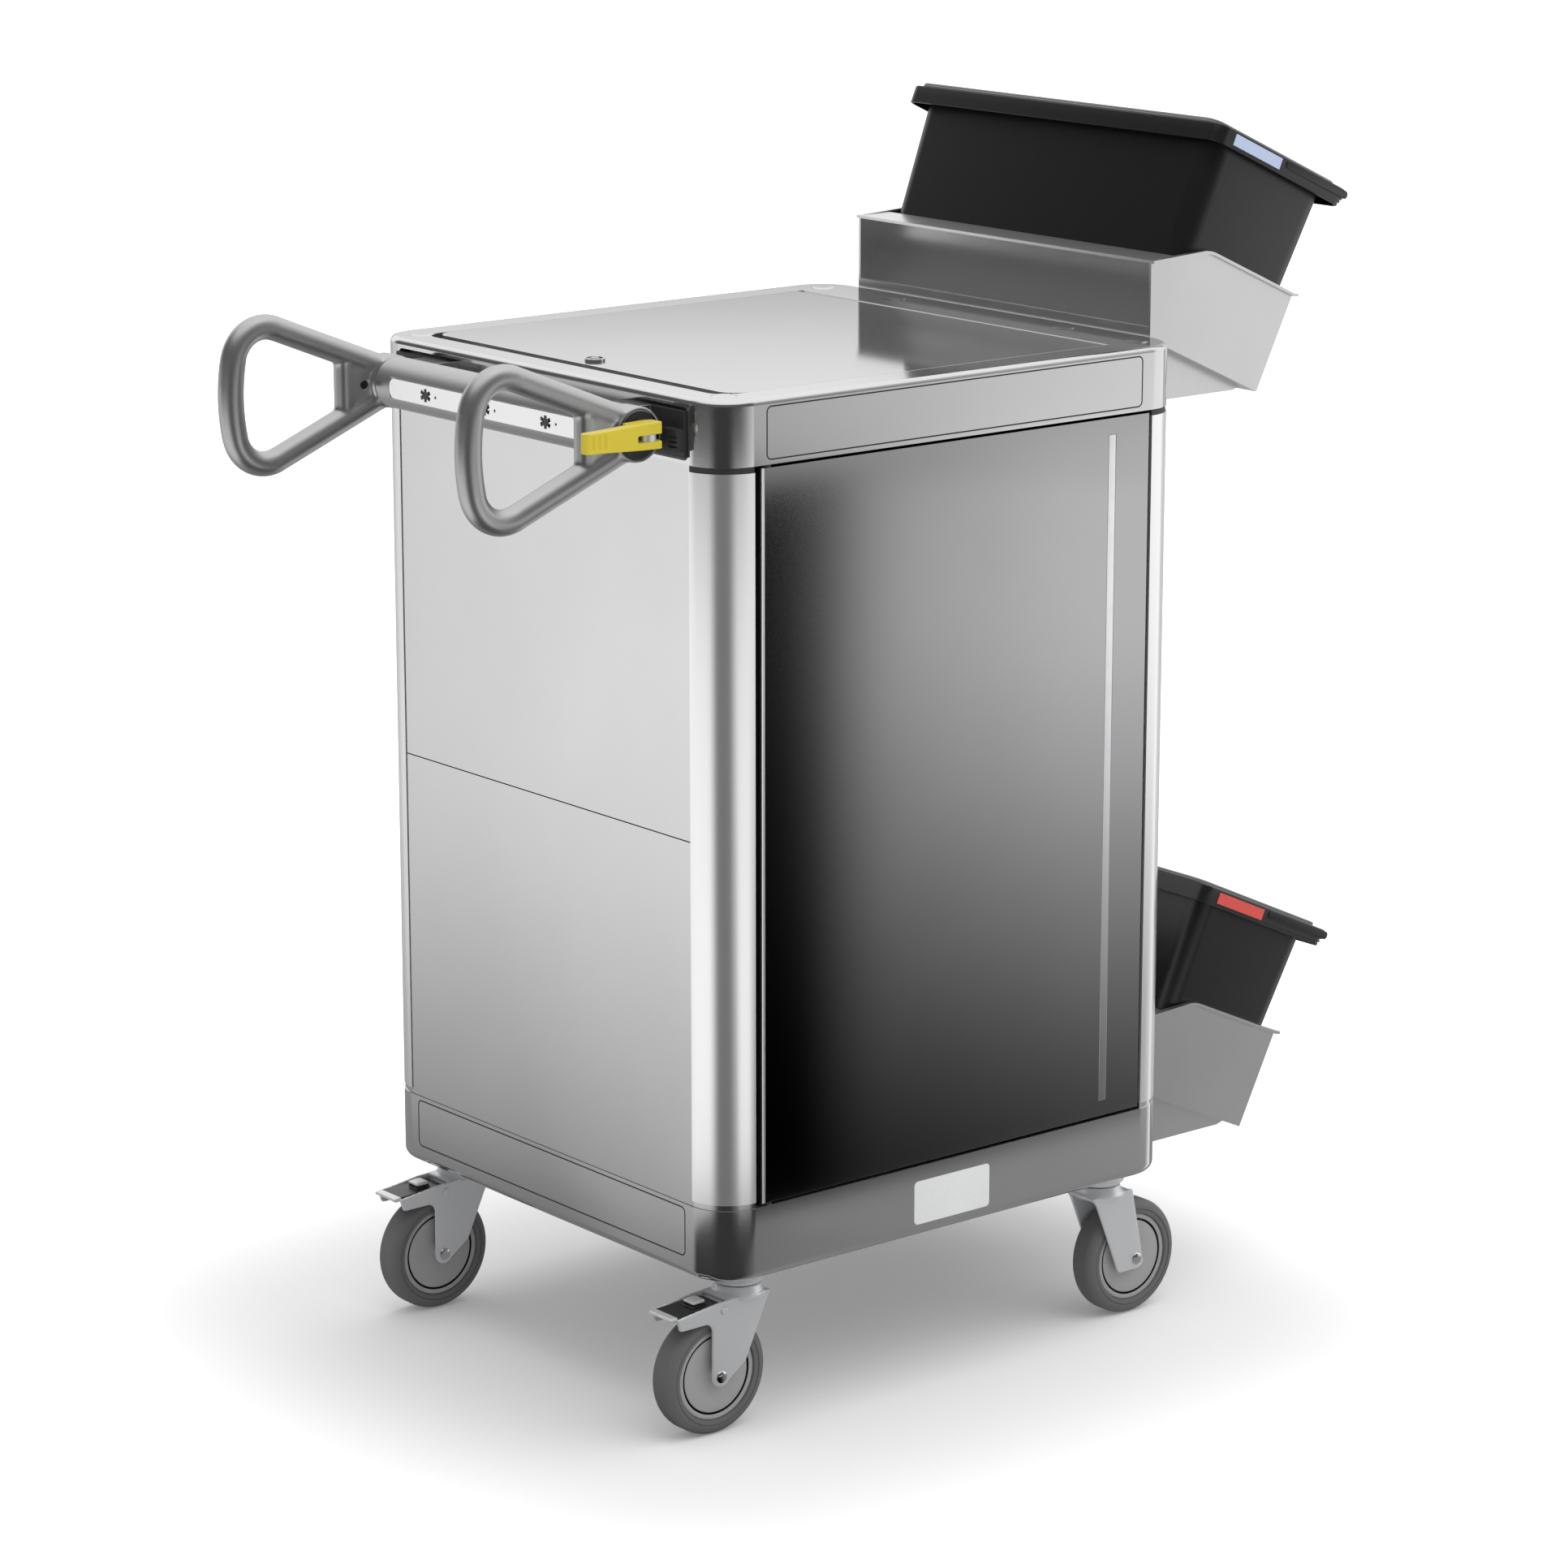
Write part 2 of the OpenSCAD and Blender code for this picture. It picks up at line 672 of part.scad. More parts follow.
// turn knob with its tongue, drawn in the released position
module lid_knob() {
    color(moulding) at_body() translate([knob_x, 0, 0]) {
        translate([0, 0, deck_top + play]) difference() {
            union() {
                cylinder(d = knob_d, h = 3.5);
                translate([0, 0, 3.5]) cylinder(d1 = knob_d, d2 = knob_d - 2, h = 1);
            }
            translate([0, 0, 3]) difference() {
                cylinder(d = knob_d - 5, h = 3);
                translate([0, 0, -eps]) cylinder(d = knob_d - 12, h = 3 + 2 * eps);
            }
        }
        translate([0, 0, tongue_z]) cylinder(d = knob_shaft, h = deck_top - tongue_z + 2);
        translate([-knob_shaft / 2, 0, tongue_z]) cube([knob_shaft, tongue_l, tongue_t]);
    }
}

module door() {
    color(door_grey) at_body() difference() {
        translate([door_x0, door_y, door_z0]) cube([door_x1 - door_x0, door_t, door_h]);
        translate([pivot_x, pivot_y, door_z0 - eps]) cylinder(d = pivot_d + 2 * fit, h = 13 + eps);
        translate([pivot_x, pivot_y, door_z0 + door_h - 13]) cylinder(d = pivot_d + 2 * fit, h = 13 + eps);
        translate([strip_x, door_y - eps, door_z0 + 17]) cube([strip_w, 1.5 + eps, door_h - 34]);
    }
}

module door_edge_profile() {
    color(metal) at_body() translate([door_x0 - edge_w, door_y, door_z0]) linear_extrude(door_h) {
        translate([edge_w / 2, 0]) square([edge_w / 2, door_t]);
        translate([0, edge_w / 2]) square([edge_w, door_t - edge_w]);
        for (y = [edge_w / 2, door_t - edge_w / 2])
            translate([edge_w / 2, y]) circle(edge_w / 2);
    }
}

module door_pull_strip() {
    color(metal) at_body() translate([strip_x, door_y, door_z0 + 17]) cube([strip_w, 1.5, door_h - 34]);
}

// bent sheet trough with end walls, cart-side flange, flared lip, back plate and gussets
module tray(z0) {
    top = tray_hb + tray_d * lean;
    in_top = tp(-tray_hb - back_wall_h * lean, back_wall_h);
    hump = tp(-0.6 * tray_hb, tray_d);
    a = [0, in_top[1] - 1];
    c = tp(top, tray_d);
    crest = bend(a, hump, c, 40);
    translate([body_l, 0, z0]) difference() {
        union() {
            side_plate(0, tray_l) polygon([tp(-tray_hb, 0), tp(tray_hb, 0), c, tp(top - tray_t, tray_d),
                tp(tray_hb - tray_t, tray_t), tp(tray_t - tray_hb, tray_t),
                tp(tray_t - tray_hb - back_wall_h * lean, back_wall_h), in_top]);
            side_plate(0, tray_l) polygon([a, in_top + [1, 0], in_top + [1, -tray_t], a - [0, tray_t]]);
            side_plate(0, tray_l) polygon([[0, 0], tp(-tray_hb, 0), tp(-tray_hb - 14 * lean, 14), [0, 14]]);
            side_plate(0, tray_l - 2 * gusset_in) translate([0, -gusset_drop]) square([tray_t, gusset_drop + 6]);
            for (s = [-1, 1]) {
                side_plate(s * (tray_l - tray_t) / 2, tray_t)
                    polygon(concat([a], crest, [c, tp(tray_hb, 0), tp(-tray_hb, 0), [0, 0]]));
                side_plate(s * (tray_l / 2 + lip_w / 2 - 0.5), lip_w + 1) polygon(concat([a, a - [0, tray_t]],
                    [for (p = crest) p - tray_t * [sin(tilt / 2), cos(tilt / 2)]],
                    [tp(top, tray_d - tray_t), c], [for (i = [len(crest) - 1:-1:0]) crest[i]]));
                side_plate(s * (tray_l / 2 - gusset_in), tray_t) polygon([[0, 1], [0, -gusset_drop],
                    tp(0.78 * tray_hb, 0) - [0, gusset_drop + tp(0.78 * tray_hb, 0)[1]],
                    tp(0.9 * tray_hb, 0), tp(0.9 * tray_hb, 1), tp(-tray_hb, 1)]);
            }
            side_plate(0, tray_l + 2 * lip_w) polygon([tp(top - 1, tray_d), tp(top + 5, tray_d + 1.5),
                tp(top + 5, tray_d - 1.5), tp(top - 1, tray_d - tray_t)]);
        }
        translate([-body_l, 0, -z0]) at_tray_bolts(z0) cylinder(d = screw_d + 0.4, h = bolt_bore, center = true);
    }
}

module upper_tray() {
    color(metal) at_body() tray(upper_tray_z);
}

module lower_tray() {
    color(metal) at_body() tray(lower_tray_z);
}

module tray_bolts() {
    color(metal) at_body() for (z0 = [upper_tray_z, lower_tray_z])
        at_tray_bolts(z0) {
            translate([0, 0, -12]) cylinder(d = screw_d, h = 12 + tray_t + eps);
            translate([0, 0, tray_t]) cylinder(d = screw_head_d, h = 4);
        }
}

// loft between the bin's floor and mouth outlines, taken in by t all round
module bin_block(t, z0, z1) {
    hull() {
        translate([0, 0, z0]) linear_extrude(0.1)
            rrect(2 * (bin_hb + z0 * lean - t), bin_lb + 2 * (z0 * lean - t), 22 - t, $fn = 32);
        translate([0, 0, z1 - 0.1]) linear_extrude(0.1)
            rrect(2 * (bin_hb + z1 * lean - t), bin_lb + 2 * (z1 * lean - t), 22 - t, $fn = 32);
    }
}

// tapered bin with a hollow rim, a stepped grip edge and shallow pads in the rim ends
module bin(z0) {
    mid_u = (rim_u0 + rim_u1) / 2;
    wide = rim_u1 - rim_u0;
    long = bin_lt + 2 * rim_end;
    in_tray(z0) translate([0, 0, bin_z]) difference() {
        union() {
            bin_block(0, 0, bin_h);
            translate([mid_u, 0, bin_h]) linear_extrude(rim_h) rrect(wide, long, 14);
        }
        bin_block(bin_t, bin_t, bin_h + rim_h + eps);
        translate([mid_u, 0, bin_h - eps]) linear_extrude(rim_h - 3 + eps) difference() {
            rrect(wide - 6, long - 6, 11);
            translate([-mid_u, 0]) rrect(2 * bin_ht, bin_lt, 20);
        }
        translate([rim_u1 - 9, 0, bin_h + 6]) rotate([90, 0, 0])
            linear_extrude(long + 2, center = true) polygon([[4, -7], [10, -7], [10, 0], [7, 0], [7, -4], [4, -4]]);
    }
}

module bin_upper() {
    color(black) at_body() bin(upper_tray_z);
}

module bin_lower() {
    color(black) at_body() bin(lower_tray_z);
}

// flat lid with a locating rib in the bin's mouth
module bin_lid(z0) {
    in_tray(z0) translate([0, 0, bin_lid_z]) {
        linear_extrude(bin_lid_t) rrect(2 * bin_ht + 24, bin_lt + 2, 14);
        translate([0, 0, -5]) linear_extrude(5 + eps) difference() {
            rrect(2 * (bin_ht - bin_t) - 3, bin_lt - 2 * bin_t - 3, 16);
            rrect(2 * (bin_ht - bin_t) - 8, bin_lt - 2 * bin_t - 8, 14);
        }
    }
}

module bin_lid_upper() {
    color(pale_grey) at_body() bin_lid(upper_tray_z);
}

module bin_lid_lower() {
    color(pale_grey) at_body() bin_lid(lower_tray_z);
}

// coloured plate on the door-side end of a bin's rim
module bin_label(z0) {
    in_tray(z0) translate([-75, -bin_lt / 2 - rim_end - 0.8, rim_z + 4]) cube([73, 0.8, 12]);
}

module bin_label_upper() {
    color([0.62, 0.74, 0.90]) at_body() bin_label(upper_tray_z);
}

module bin_label_lower() {
    color([0.86, 0.36, 0.30]) at_body() bin_label(lower_tray_z);
}

// round cup with its pressed-in stem and king pin
module caster_cups() {
    color(metal) at_body() for (sx = [0, 1], sy = [-1, 1])
        at_caster(sx, sy) translate([0, 0, base_z]) {
            cylinder(d = stem_d, h = stem_h);
            translate([0, 0, 4 - cup_h]) cylinder(d = cup_d, h = cup_h - 4);
            translate([0, 0, -cup_h]) cylinder(d1 = cup_d - 3, d2 = cup_d, h = 4);
            translate([0, 0, -24 - crown_t - 5]) cylinder(d = stem_d, h = 26);
            translate([0, 0, -24 - crown_t - 5]) cylinder(d = stem_d + 10, h = 4.6);
        }
}

// side outline of a fork; the braked one reaches out over the wheel and carries the pedal
module cheek(braked) {
    eye = [-trail, axle_z];
    left = -trail - 11;
    tip = -trail - 55.5;
    arm = crown_z - 20;
    foot = axle_z - 11.5;
    difference() {
        if (braked) {
            polygon(concat([[26, crown_z], [22, crown_z - 7], [31.5 - trail, axle_z + 10]],
                [eye + 11 * [cos(-35), sin(-35)], eye + [-11, 0]],
                bend([left, axle_z], [left, arm], [tip, arm - 1], 9),
                bend([left, arm], [tip + 4, arm - 1], [tip, crown_z - 7], 5),
                [[tip, crown_z - 7], [-44, crown_z - 1], [-26, crown_z]]));
            translate(eye) circle(11);
        } else {
            polygon(concat([[26, crown_z], [20, crown_z - 10]],
                bend([20, crown_z - 10], [25.5 - trail, foot], eye - [0, 11.5], 4),
                bend(eye - [0, 11.5], [left, foot], [left + 2, axle_z + 6], 7),
                [[-31, crown_z]]));
        }
        translate(eye) circle(d = axle_d + 2 * fit);
        if (braked)
            translate([pedal_x, pedal_z]) circle(d = 6 + 2 * fit);
    }
}

module fork(braked) {
    difference() {
        union() {
            for (s = [-1, 1])
                side_plate(s * (cheek_y + cheek_t / 2), cheek_t) cheek(braked);
            translate([-29, -cheek_y - eps, crown_z - crown_t]) cube([54, 2 * (cheek_y + eps), crown_t]);
            translate([0, 0, crown_z - crown_t]) cylinder(d = cup_d, h = crown_t);
            translate([0, 0, crown_z - eps]) cylinder(d1 = cup_d - 2, d2 = cup_d - 8, h = neck_h + eps);
        }
        translate([0, 0, crown_z - 2 * crown_t]) cylinder(d = stem_d + 2 * fit, h = 60);
    }
}

module caster_fork_1() {
    color(metal) at_body() at_caster(0, -1) fork(true);
}

module caster_fork_2() {
    color(metal) at_body() at_caster(0, 1) fork(true);
}

module caster_fork_3() {
    color(metal) at_body() at_caster(1, -1) fork(false);
}

module caster_fork_4() {
    color(metal) at_body() at_caster(1, 1) fork(false);
}

// body of revolution about the axle, profile given as radius and width
module on_axle() {
    translate([-trail, 0, axle_z]) rotate([90, 0, 0]) rotate_extrude() children();
}

module tyre() {
    round_r = 10;
    on_axle() intersection() {
        translate([tyre_in, -wheel_w / 2]) square([wheel_d / 2 - tyre_in, wheel_w]);
        union() {
            translate([0, -wheel_w / 2]) square([wheel_d / 2 - round_r, wheel_w]);
            translate([0, round_r - wheel_w / 2]) square([wheel_d / 2, wheel_w - 2 * round_r]);
            for (s = [-1, 1])
                translate([wheel_d / 2 - round_r, s * (wheel_w / 2 - round_r)]) circle(round_r);
        }
    }
}

module tyre_1() {
    color(rubber_grey) at_body() at_caster(0, -1) tyre();
}

module tyre_2() {
    color(rubber_grey) at_body() at_caster(0, 1) tyre();
}

module tyre_3() {
    color(rubber_grey) at_body() at_caster(1, -1) tyre();
}

module tyre_4() {
    color(rubber_grey) at_body() at_caster(1, 1) tyre();
}

// wheel centre: rim band, ring groove, disc and boss
module wheel_hub() {
    groove = tyre_in - 7.5;
    on_axle() {
        translate([groove + 2, 3 - wheel_w / 2]) square([tyre_in - play - groove - 2, wheel_w - 6]);
        translate([groove - eps, 8 - wheel_w / 2]) square([4, wheel_w - 16]);
        translate([axle_d / 2 + fit, 3.5 - wheel_w / 2]) square([groove - axle_d / 2 - fit, wheel_w - 7]);
        translate([axle_d / 2 + fit, play - cheek_y]) square([5, 2 * (cheek_y - play)]);
    }
}

module wheel_hub_1() {
    color(pale_grey) at_body() at_caster(0, -1) wheel_hub();
}

module wheel_hub_2() {
    color(pale_grey) at_body() at_caster(0, 1) wheel_hub();
}

module wheel_hub_3() {
    color(pale_grey) at_body() at_caster(1, -1) wheel_hub();
}

module wheel_hub_4() {
    color(pale_grey) at_body() at_caster(1, 1) wheel_hub();
}

module axle() {
    out = cheek_y + cheek_t;
    translate([-trail, 0, axle_z]) rotate([90, 0, 0]) {
        cylinder(d = axle_d, h = 2 * out, center = true);
        for (s = [0, 1])
            mirror([0, 0, s]) translate([0, 0, out]) cylinder(d1 = 13, d2 = 8, h = 3);
    }
}

module axle_1() {
    color(metal) at_body() at_caster(0, -1) axle();
}

module axle_2() {
    color(metal) at_body() at_caster(0, 1) axle();
}

module axle_3() {
    color(metal) at_body() at_caster(1, -1) axle();
}

module axle_4() {
    color(metal) at_body() at_caster(1, 1) axle();
}

// rocker between the cheeks on a riveted shaft, with a toe tab and a shoe above the tread
module brake_pedal() {
    tip = -trail - 62.5;
    heel = pedal_z - 3.5;
    side_plate(0, 2 * (cheek_y - 0.5)) polygon(concat(
        [[pedal_x + 4, pedal_z + 4], [pedal_x - 10, crown_z - 4]],
        bend([pedal_x - 10, crown_z - 4], [tip, crown_z - 6], [tip + 3, crown_z - 11], 2, 4),
        [[tip + 4, crown_z - 10], [tip + 30, crown_z - 9], [tip + 34, crown_z - 16], [tip + 44, crown_z - 15],
         [tip + 54, crown_z - 12], [pedal_x - 4, heel], [pedal_x + 3, heel]]));
    translate([pedal_x, 0, pedal_z]) rotate([90, 0, 0])
        cylinder(d = 6, h = 2 * (cheek_y + cheek_t + 1), center = true);
    for (s = [0, 1])
        mirror([0, s, 0]) translate([pedal_x, -cheek_y - cheek_t - play, pedal_z]) rotate([90, 0, 0])
            cylinder(d1 = 9, d2 = 7, h = 1.2);
    side_plate(0, 16) translate([pedal_x, crown_z])
        polygon([[-12, -5], [-28, -5], [-29, 1], [-14, 2]]);
}

module brake_pedal_1() {
    color(door_grey) at_body() at_caster(0, -1) brake_pedal();
}

module brake_pedal_2() {
    color(door_grey) at_body() at_caster(0, 1) brake_pedal();
}

// tube loop with straight arms tangent to rounded corners and a bowed grip, on a bored hub
module handle_loop() {
    web_x = -64;
    web_z = arm_off / cos(arm_angle) + 64 * tan(arm_angle);
    translate([0, loop_y, 0]) rotate([90, 0, 0]) difference() {
        union() {
            cylinder(d = hub_d, h = hub_w, center = true);
            for (s = [0, 1])
                mirror([0, s, 0]) {
                    translate(concat(arm_start, 0)) rotate([0, 0, 90 - arm_angle])
                        rotate([-90, 0, 0]) cylinder(d = loop_tube - 2 * nest, h = norm(arm_end - arm_start) + 0.6);
                    translate(concat(corner_c, 0)) rotate([0, 0, corner_a0])
                        rotate_extrude(angle = corner_a1 - corner_a0 + 1)
                            translate([loop_corner, 0]) circle(d = loop_tube - nest);
                }
            translate(concat(bow_c, 0)) rotate([0, 0, corner_a1])
                rotate_extrude(angle = 2 * (180 - corner_a1)) translate([loop_bow, 0]) circle(d = loop_tube);
            linear_extrude(hub_w - 10, center = true) polygon([[0, -arm_off / cos(arm_angle)],
                [0, arm_off / cos(arm_angle)], [web_x + 9, web_z - 3], [web_x + 9, 3 - web_z]]);
            translate([web_x + 9, 0, 0]) rotate([90, 0, 0])
                cylinder(d = hub_w - 8, h = 2 * web_z, center = true);
        }
        cylinder(d = spigot_d + 2 * fit, h = 2 * hub_w, center = true);
        translate([0, 0, -hub_w / 2 - eps]) cylinder(d = rosette_d + 0.5, h = rosette_sink + eps);
        translate([-36, 0, 0]) cylinder(d = 8, h = 2 * hub_w, center = true);
    }
}

module handle_loop_near() {
    color(handle_grey) at_body() at_handle(-1) handle_loop();
}

module handle_loop_far() {
    color(handle_grey) at_body() at_handle(1) handle_loop();
}

module clamp_rosette() {
    translate([0, rosette_face - rosette_t, 0]) rotate([-90, 0, 0]) difference() {
        union() {
            cylinder(d = rosette_d, h = rosette_t - 1);
            translate([0, 0, rosette_t - 1]) cylinder(d1 = rosette_d, d2 = rosette_d - 3, h = 1);
        }
        translate([0, 0, -eps]) cylinder(d = rod_d + 2 * fit, h = rosette_t + 2 * eps);
    }
}

module clamp_rosette_near() {
    color(black) at_body() at_handle(-1) clamp_rosette();
}

module clamp_rosette_far() {
    color(black) at_body() at_handle(1) clamp_rosette();
}

// rod with a nut inside the bar, an eye outside and the lever's cross pin through the eye
module clamp_rod() {
    rotate([-90, 0, 0]) translate([0, 0, bar_half - 30]) cylinder(d = rod_d, h = lever_y - bar_half + 25);
    rotate([-90, 0, 0]) translate([0, 0, bar_half - 20]) cylinder(d = 16, h = 10);
    translate([0, lever_y, 0]) {
        cylinder(d = eye_d, h = slot_h - 0.4, center = true);
        translate([0, 0, lever_z - handle_z]) cylinder(d = 6, h = lever_h - 2, center = true);
    }
}

module clamp_rod_near() {
    color(metal) at_body() at_handle(-1) clamp_rod();
}

module clamp_rod_far() {
    color(metal) at_body() at_handle(1) rotate([0, far_turn, 0]) clamp_rod();
}

// cam lever: round nose about the pin, slim arm, fork slot for the rod's eye and finger grooves
module clamp_lever() {
    translate([0, lever_y, lever_z - handle_z]) difference() {
        intersection() {
            translate([0, 0, -lever_h]) linear_extrude(2 * lever_h) {
                circle(cam_r);
                translate([-22, -cam_r]) square([22, cam_r + 8]);
                translate([6 - lever_l, -4]) square([lever_l - 6, 12]);
                translate([6 - lever_l, 2]) circle(6);
            }
            side_plate(0, 4 * cam_r) translate([(cam_r - lever_l) / 2, 0])
                rrect(lever_l + cam_r + 1, lever_h, lever_round);
        }
        translate([-25, 8, -lever_h]) cube([60, 20, 2 * lever_h]);
        cylinder(d = 6 + 2 * fit, h = lever_h + 2, center = true);
        translate([-18, -30, handle_z - lever_z - slot_h / 2]) cube([60, 60, slot_h]);
        for (i = [0:2])
            translate([9 - lever_l + i * 7, 8.6, 0]) cylinder(r = 1.8, h = lever_h - 8, center = true);
    }
}

module clamp_lever_near() {
    color(yellow) at_body() at_handle(-1) clamp_lever();
}

module clamp_lever_far() {
    color(yellow) at_body() at_handle(1) rotate([0, far_turn, 0]) clamp_lever();
}

base_tray();
trim_inlays();
badge_plate();
corner_posts();
post_screws();
deck_frame();
deck_plugs();
handle_panel_upper();
handle_panel_lower();
bin_panel_upper();
bin_panel_lower();
rear_panel();
shelf();
shelf_rails();
crossbar();
crossbar_strip();
crossbar_brackets();
door_pivots();
lid_hinge_pins();
upper_tray();
lower_tray();
tray_bolts();
caster_cups();
lid();
lid_knob();
door();
door_edge_profile();
door_pull_strip();
caster_fork_1();
caster_fork_2();
caster_fork_3();
caster_fork_4();
tyre_1();
tyre_2();
tyre_3();
tyre_4();
wheel_hub_1();
wheel_hub_2();
wheel_hub_3();
wheel_hub_4();
axle_1();
axle_2();
axle_3();
axle_4();
brake_pedal_1();
brake_pedal_2();
handle_loop_near();
handle_loop_far();
clamp_rosette_near();
clamp_rosette_far();
clamp_rod_near();
clamp_rod_far();
clamp_lever_near();
clamp_lever_far();
bin_upper();
bin_lower();
bin_lid_upper();
bin_lid_lower();
bin_label_upper();
bin_label_lower();
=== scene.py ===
"""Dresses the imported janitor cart: finishes for its solids, finer visible pieces, studio and camera."""

import json
import math

import bmesh
import bpy
import numpy as np
from bpy.props import FloatProperty, FloatVectorProperty, PointerProperty
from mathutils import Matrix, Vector


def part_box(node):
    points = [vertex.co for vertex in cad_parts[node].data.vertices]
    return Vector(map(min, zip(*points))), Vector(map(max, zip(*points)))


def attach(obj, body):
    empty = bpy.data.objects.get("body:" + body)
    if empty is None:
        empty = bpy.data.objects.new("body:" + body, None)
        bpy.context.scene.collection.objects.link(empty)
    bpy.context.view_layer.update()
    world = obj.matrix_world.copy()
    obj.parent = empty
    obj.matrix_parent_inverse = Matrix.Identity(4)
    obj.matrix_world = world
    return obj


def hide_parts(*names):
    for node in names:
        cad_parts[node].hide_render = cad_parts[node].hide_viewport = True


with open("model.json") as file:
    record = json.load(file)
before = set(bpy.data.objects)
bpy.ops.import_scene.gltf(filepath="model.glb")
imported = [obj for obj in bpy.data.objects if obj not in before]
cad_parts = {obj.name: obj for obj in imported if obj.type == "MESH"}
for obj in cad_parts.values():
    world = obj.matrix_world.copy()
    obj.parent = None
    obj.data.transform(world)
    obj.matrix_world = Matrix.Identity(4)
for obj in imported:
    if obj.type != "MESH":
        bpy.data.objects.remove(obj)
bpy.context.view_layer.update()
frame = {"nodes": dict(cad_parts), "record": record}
NODES = frame["nodes"]
FINISH = {}
X, Y, Z = np.eye(3)
COLLAR = 0.006  # height of the collars that base and deck have at the posts

bl_info = {
    "name": "Janitor cart dressing",
    "version": (1, 0, 0),
    "blender": (4, 5, 0),
    "location": "View3D > Sidebar > Cart",
    "description": "Finishes, fine pieces and studio for a cabinet cart with folding handles and tilted bins",
    "category": "Object",
}


# Settings

def srgb(r, g, b):
    """Linear colour of a display colour given in 0..255: the two branches of the display curve."""
    c = np.array([r, g, b], float) / 255.0
    lin = np.where(c <= 0.04045, c / 12.92, ((c + 0.055) / 1.055) ** 2.4)
    return tuple(float(v) for v in lin)


def tint(label, words, colour):
    """One colour property of the panel."""
    return FloatVectorProperty(name=label, description=words, subtype="COLOR", size=3, min=0.0, max=1.0,
                               default=colour)


def length(label, words, metres):
    """One length property of the panel."""
    return FloatProperty(name=label, description=words, unit="LENGTH", default=metres)


def angle(label, words, degrees):
    """One angle property of the panel."""
    return FloatProperty(name=label, description=words, subtype="ANGLE", default=math.radians(degrees))


class CartColours(bpy.types.PropertyGroup):
    """Colours of the finishes."""
    moulding: tint("Moulding", "base, deck and inlays", srgb(225, 225, 226))
    panel: tint("Panel", "pale end panels", srgb(227, 227, 227))
    door: tint("Door", "door leaf", srgb(182, 182, 182))
    aluminium: tint("Aluminium", "posts and strips", srgb(254, 254, 254))
    sheet: tint("Sheet", "bent trays", srgb(236, 236, 236))
    zinc: tint("Zinc", "forks, cups and screws", srgb(240, 241, 243))
    handle: tint("Handle", "push-handle loops and bar", srgb(190, 190, 190))
    # Black is also painted shade: the wheel grooves, the holes of the loops, each six-lobed socket of the
    # bar, the grooves round the inlays, the knob's ring recess and the door edge's flank.
    black: tint("Black", "rosettes, bins and dark gaps", srgb(15, 15, 16))
    # This grey is also painted shade on the deck's set-back collars over the posts.
    bracket: tint("Bracket", "brackets of the cross bar and seams over the posts", srgb(52, 52, 53))
    yellow: tint("Yellow", "clamp levers", srgb(226, 205, 52))
    lid: tint("Lid", "flap lid", srgb(206, 206, 206))
    bin_lid: tint("Bin lid", "thin lids of the bins", srgb(150, 151, 152))
    plate: tint("Plate", "bare plate on the base", srgb(235, 236, 236))
    label_blue: tint("Blue label", "label of the upper bin", srgb(196, 210, 240))
    label_red: tint("Red label", "label of the lower bin", srgb(226, 84, 76))
    tyre: tint("Tyre", "wheel tread", srgb(106, 106, 106))
    hub: tint("Hub", "wheel centre", srgb(168, 168, 168))


class CartSizes(bpy.types.PropertyGroup):
    """Sizes of the fine visible forms."""
    tyre_bead: length("Tyre bead", "radius where the tyre meets the wheel centre", 0.047)
    # The groove's dark is painted shade: the wheels step gives the faces deep in it the black finish.
    groove: length("Wheel groove", "radius of the dark ring groove", 0.0405)
    loop_grain: length("Loop mesh", "mesh size of the blended handle loops", 0.0016)
    fork_grain: length("Fork mesh", "mesh size of the blended forks", 0.001)
    tilt: angle("Bin tilt", "lean of trays and bins", 24.5)
    bin_draft: angle("Bin draft", "taper of the bin walls", 2.5)
    bin_height: length("Bin height", "from the bin's foot to its rim", 0.209)
    rim_height: length("Rim height", "height of the bin's turned-over rim", 0.019)
    bin_wall: length("Bin wall", "thickness of the bin's wall", 0.003)
    foot_half: length("Bin foot", "half length of the bin's foot along the tilt", 0.0775)
    mouth_half: length("Bin mouth", "half width of the bin under its rim", 0.232)
    rim_half: length("Bin rim", "half width over the bin's rim", 0.244)
    cover_half: length("Bin lid", "half width of the bin's thin lid", 0.233)


class StudioSettings(bpy.types.PropertyGroup):
    """Camera and light."""
    focal: FloatProperty(name="Focal length", description="lens on a 36 mm square sensor, in mm",
                         default=114.06)
    azimuth: angle("View azimuth", "heading of the view in the floor plane", 50.92)
    elevation: angle("View elevation", "downward slope of the view", 13.89)
    distance: length("Distance", "camera to target", 5.197)
    target: FloatVectorProperty(name="Target", description="point in the middle of the picture",
                                subtype="XYZ", default=(0.0017, 0.0103, 0.5708))
    key: FloatProperty(name="Key light", description="strength of the soft sun", default=1.5)
    fill: FloatProperty(name="Sky light", description="strength of the even surrounding light", default=0.58)
    dome: length("Dome radius", "radius of the mirrored dome", 30.0)
    lift: FloatProperty(name="Floor lift", description="glow of the floor seen directly", default=0.12)
    corner: FloatVectorProperty(name="Corner", description="place on the floor under the near post", size=2,
                                default=(-0.27, -0.24))


# Finishes

def noise(nodes, links, coords, scale, detail):
    """Noise texture on object coordinates."""
    texture = nodes.new("ShaderNodeTexNoise")
    texture.inputs["Scale"].default_value = scale
    texture.inputs["Detail"].default_value = detail
    links.new(coords.outputs["Object"], texture.inputs["Vector"])
    return texture


def ranged(nodes, links, source, start, target):
    """A texture's value carried from one range to another."""
    node = nodes.new("ShaderNodeMapRange")
    node.inputs["From Min"].default_value, node.inputs["From Max"].default_value = start
    node.inputs["To Min"].default_value, node.inputs["To Max"].default_value = target
    links.new(source.outputs["Fac"], node.inputs["Value"])
    return node


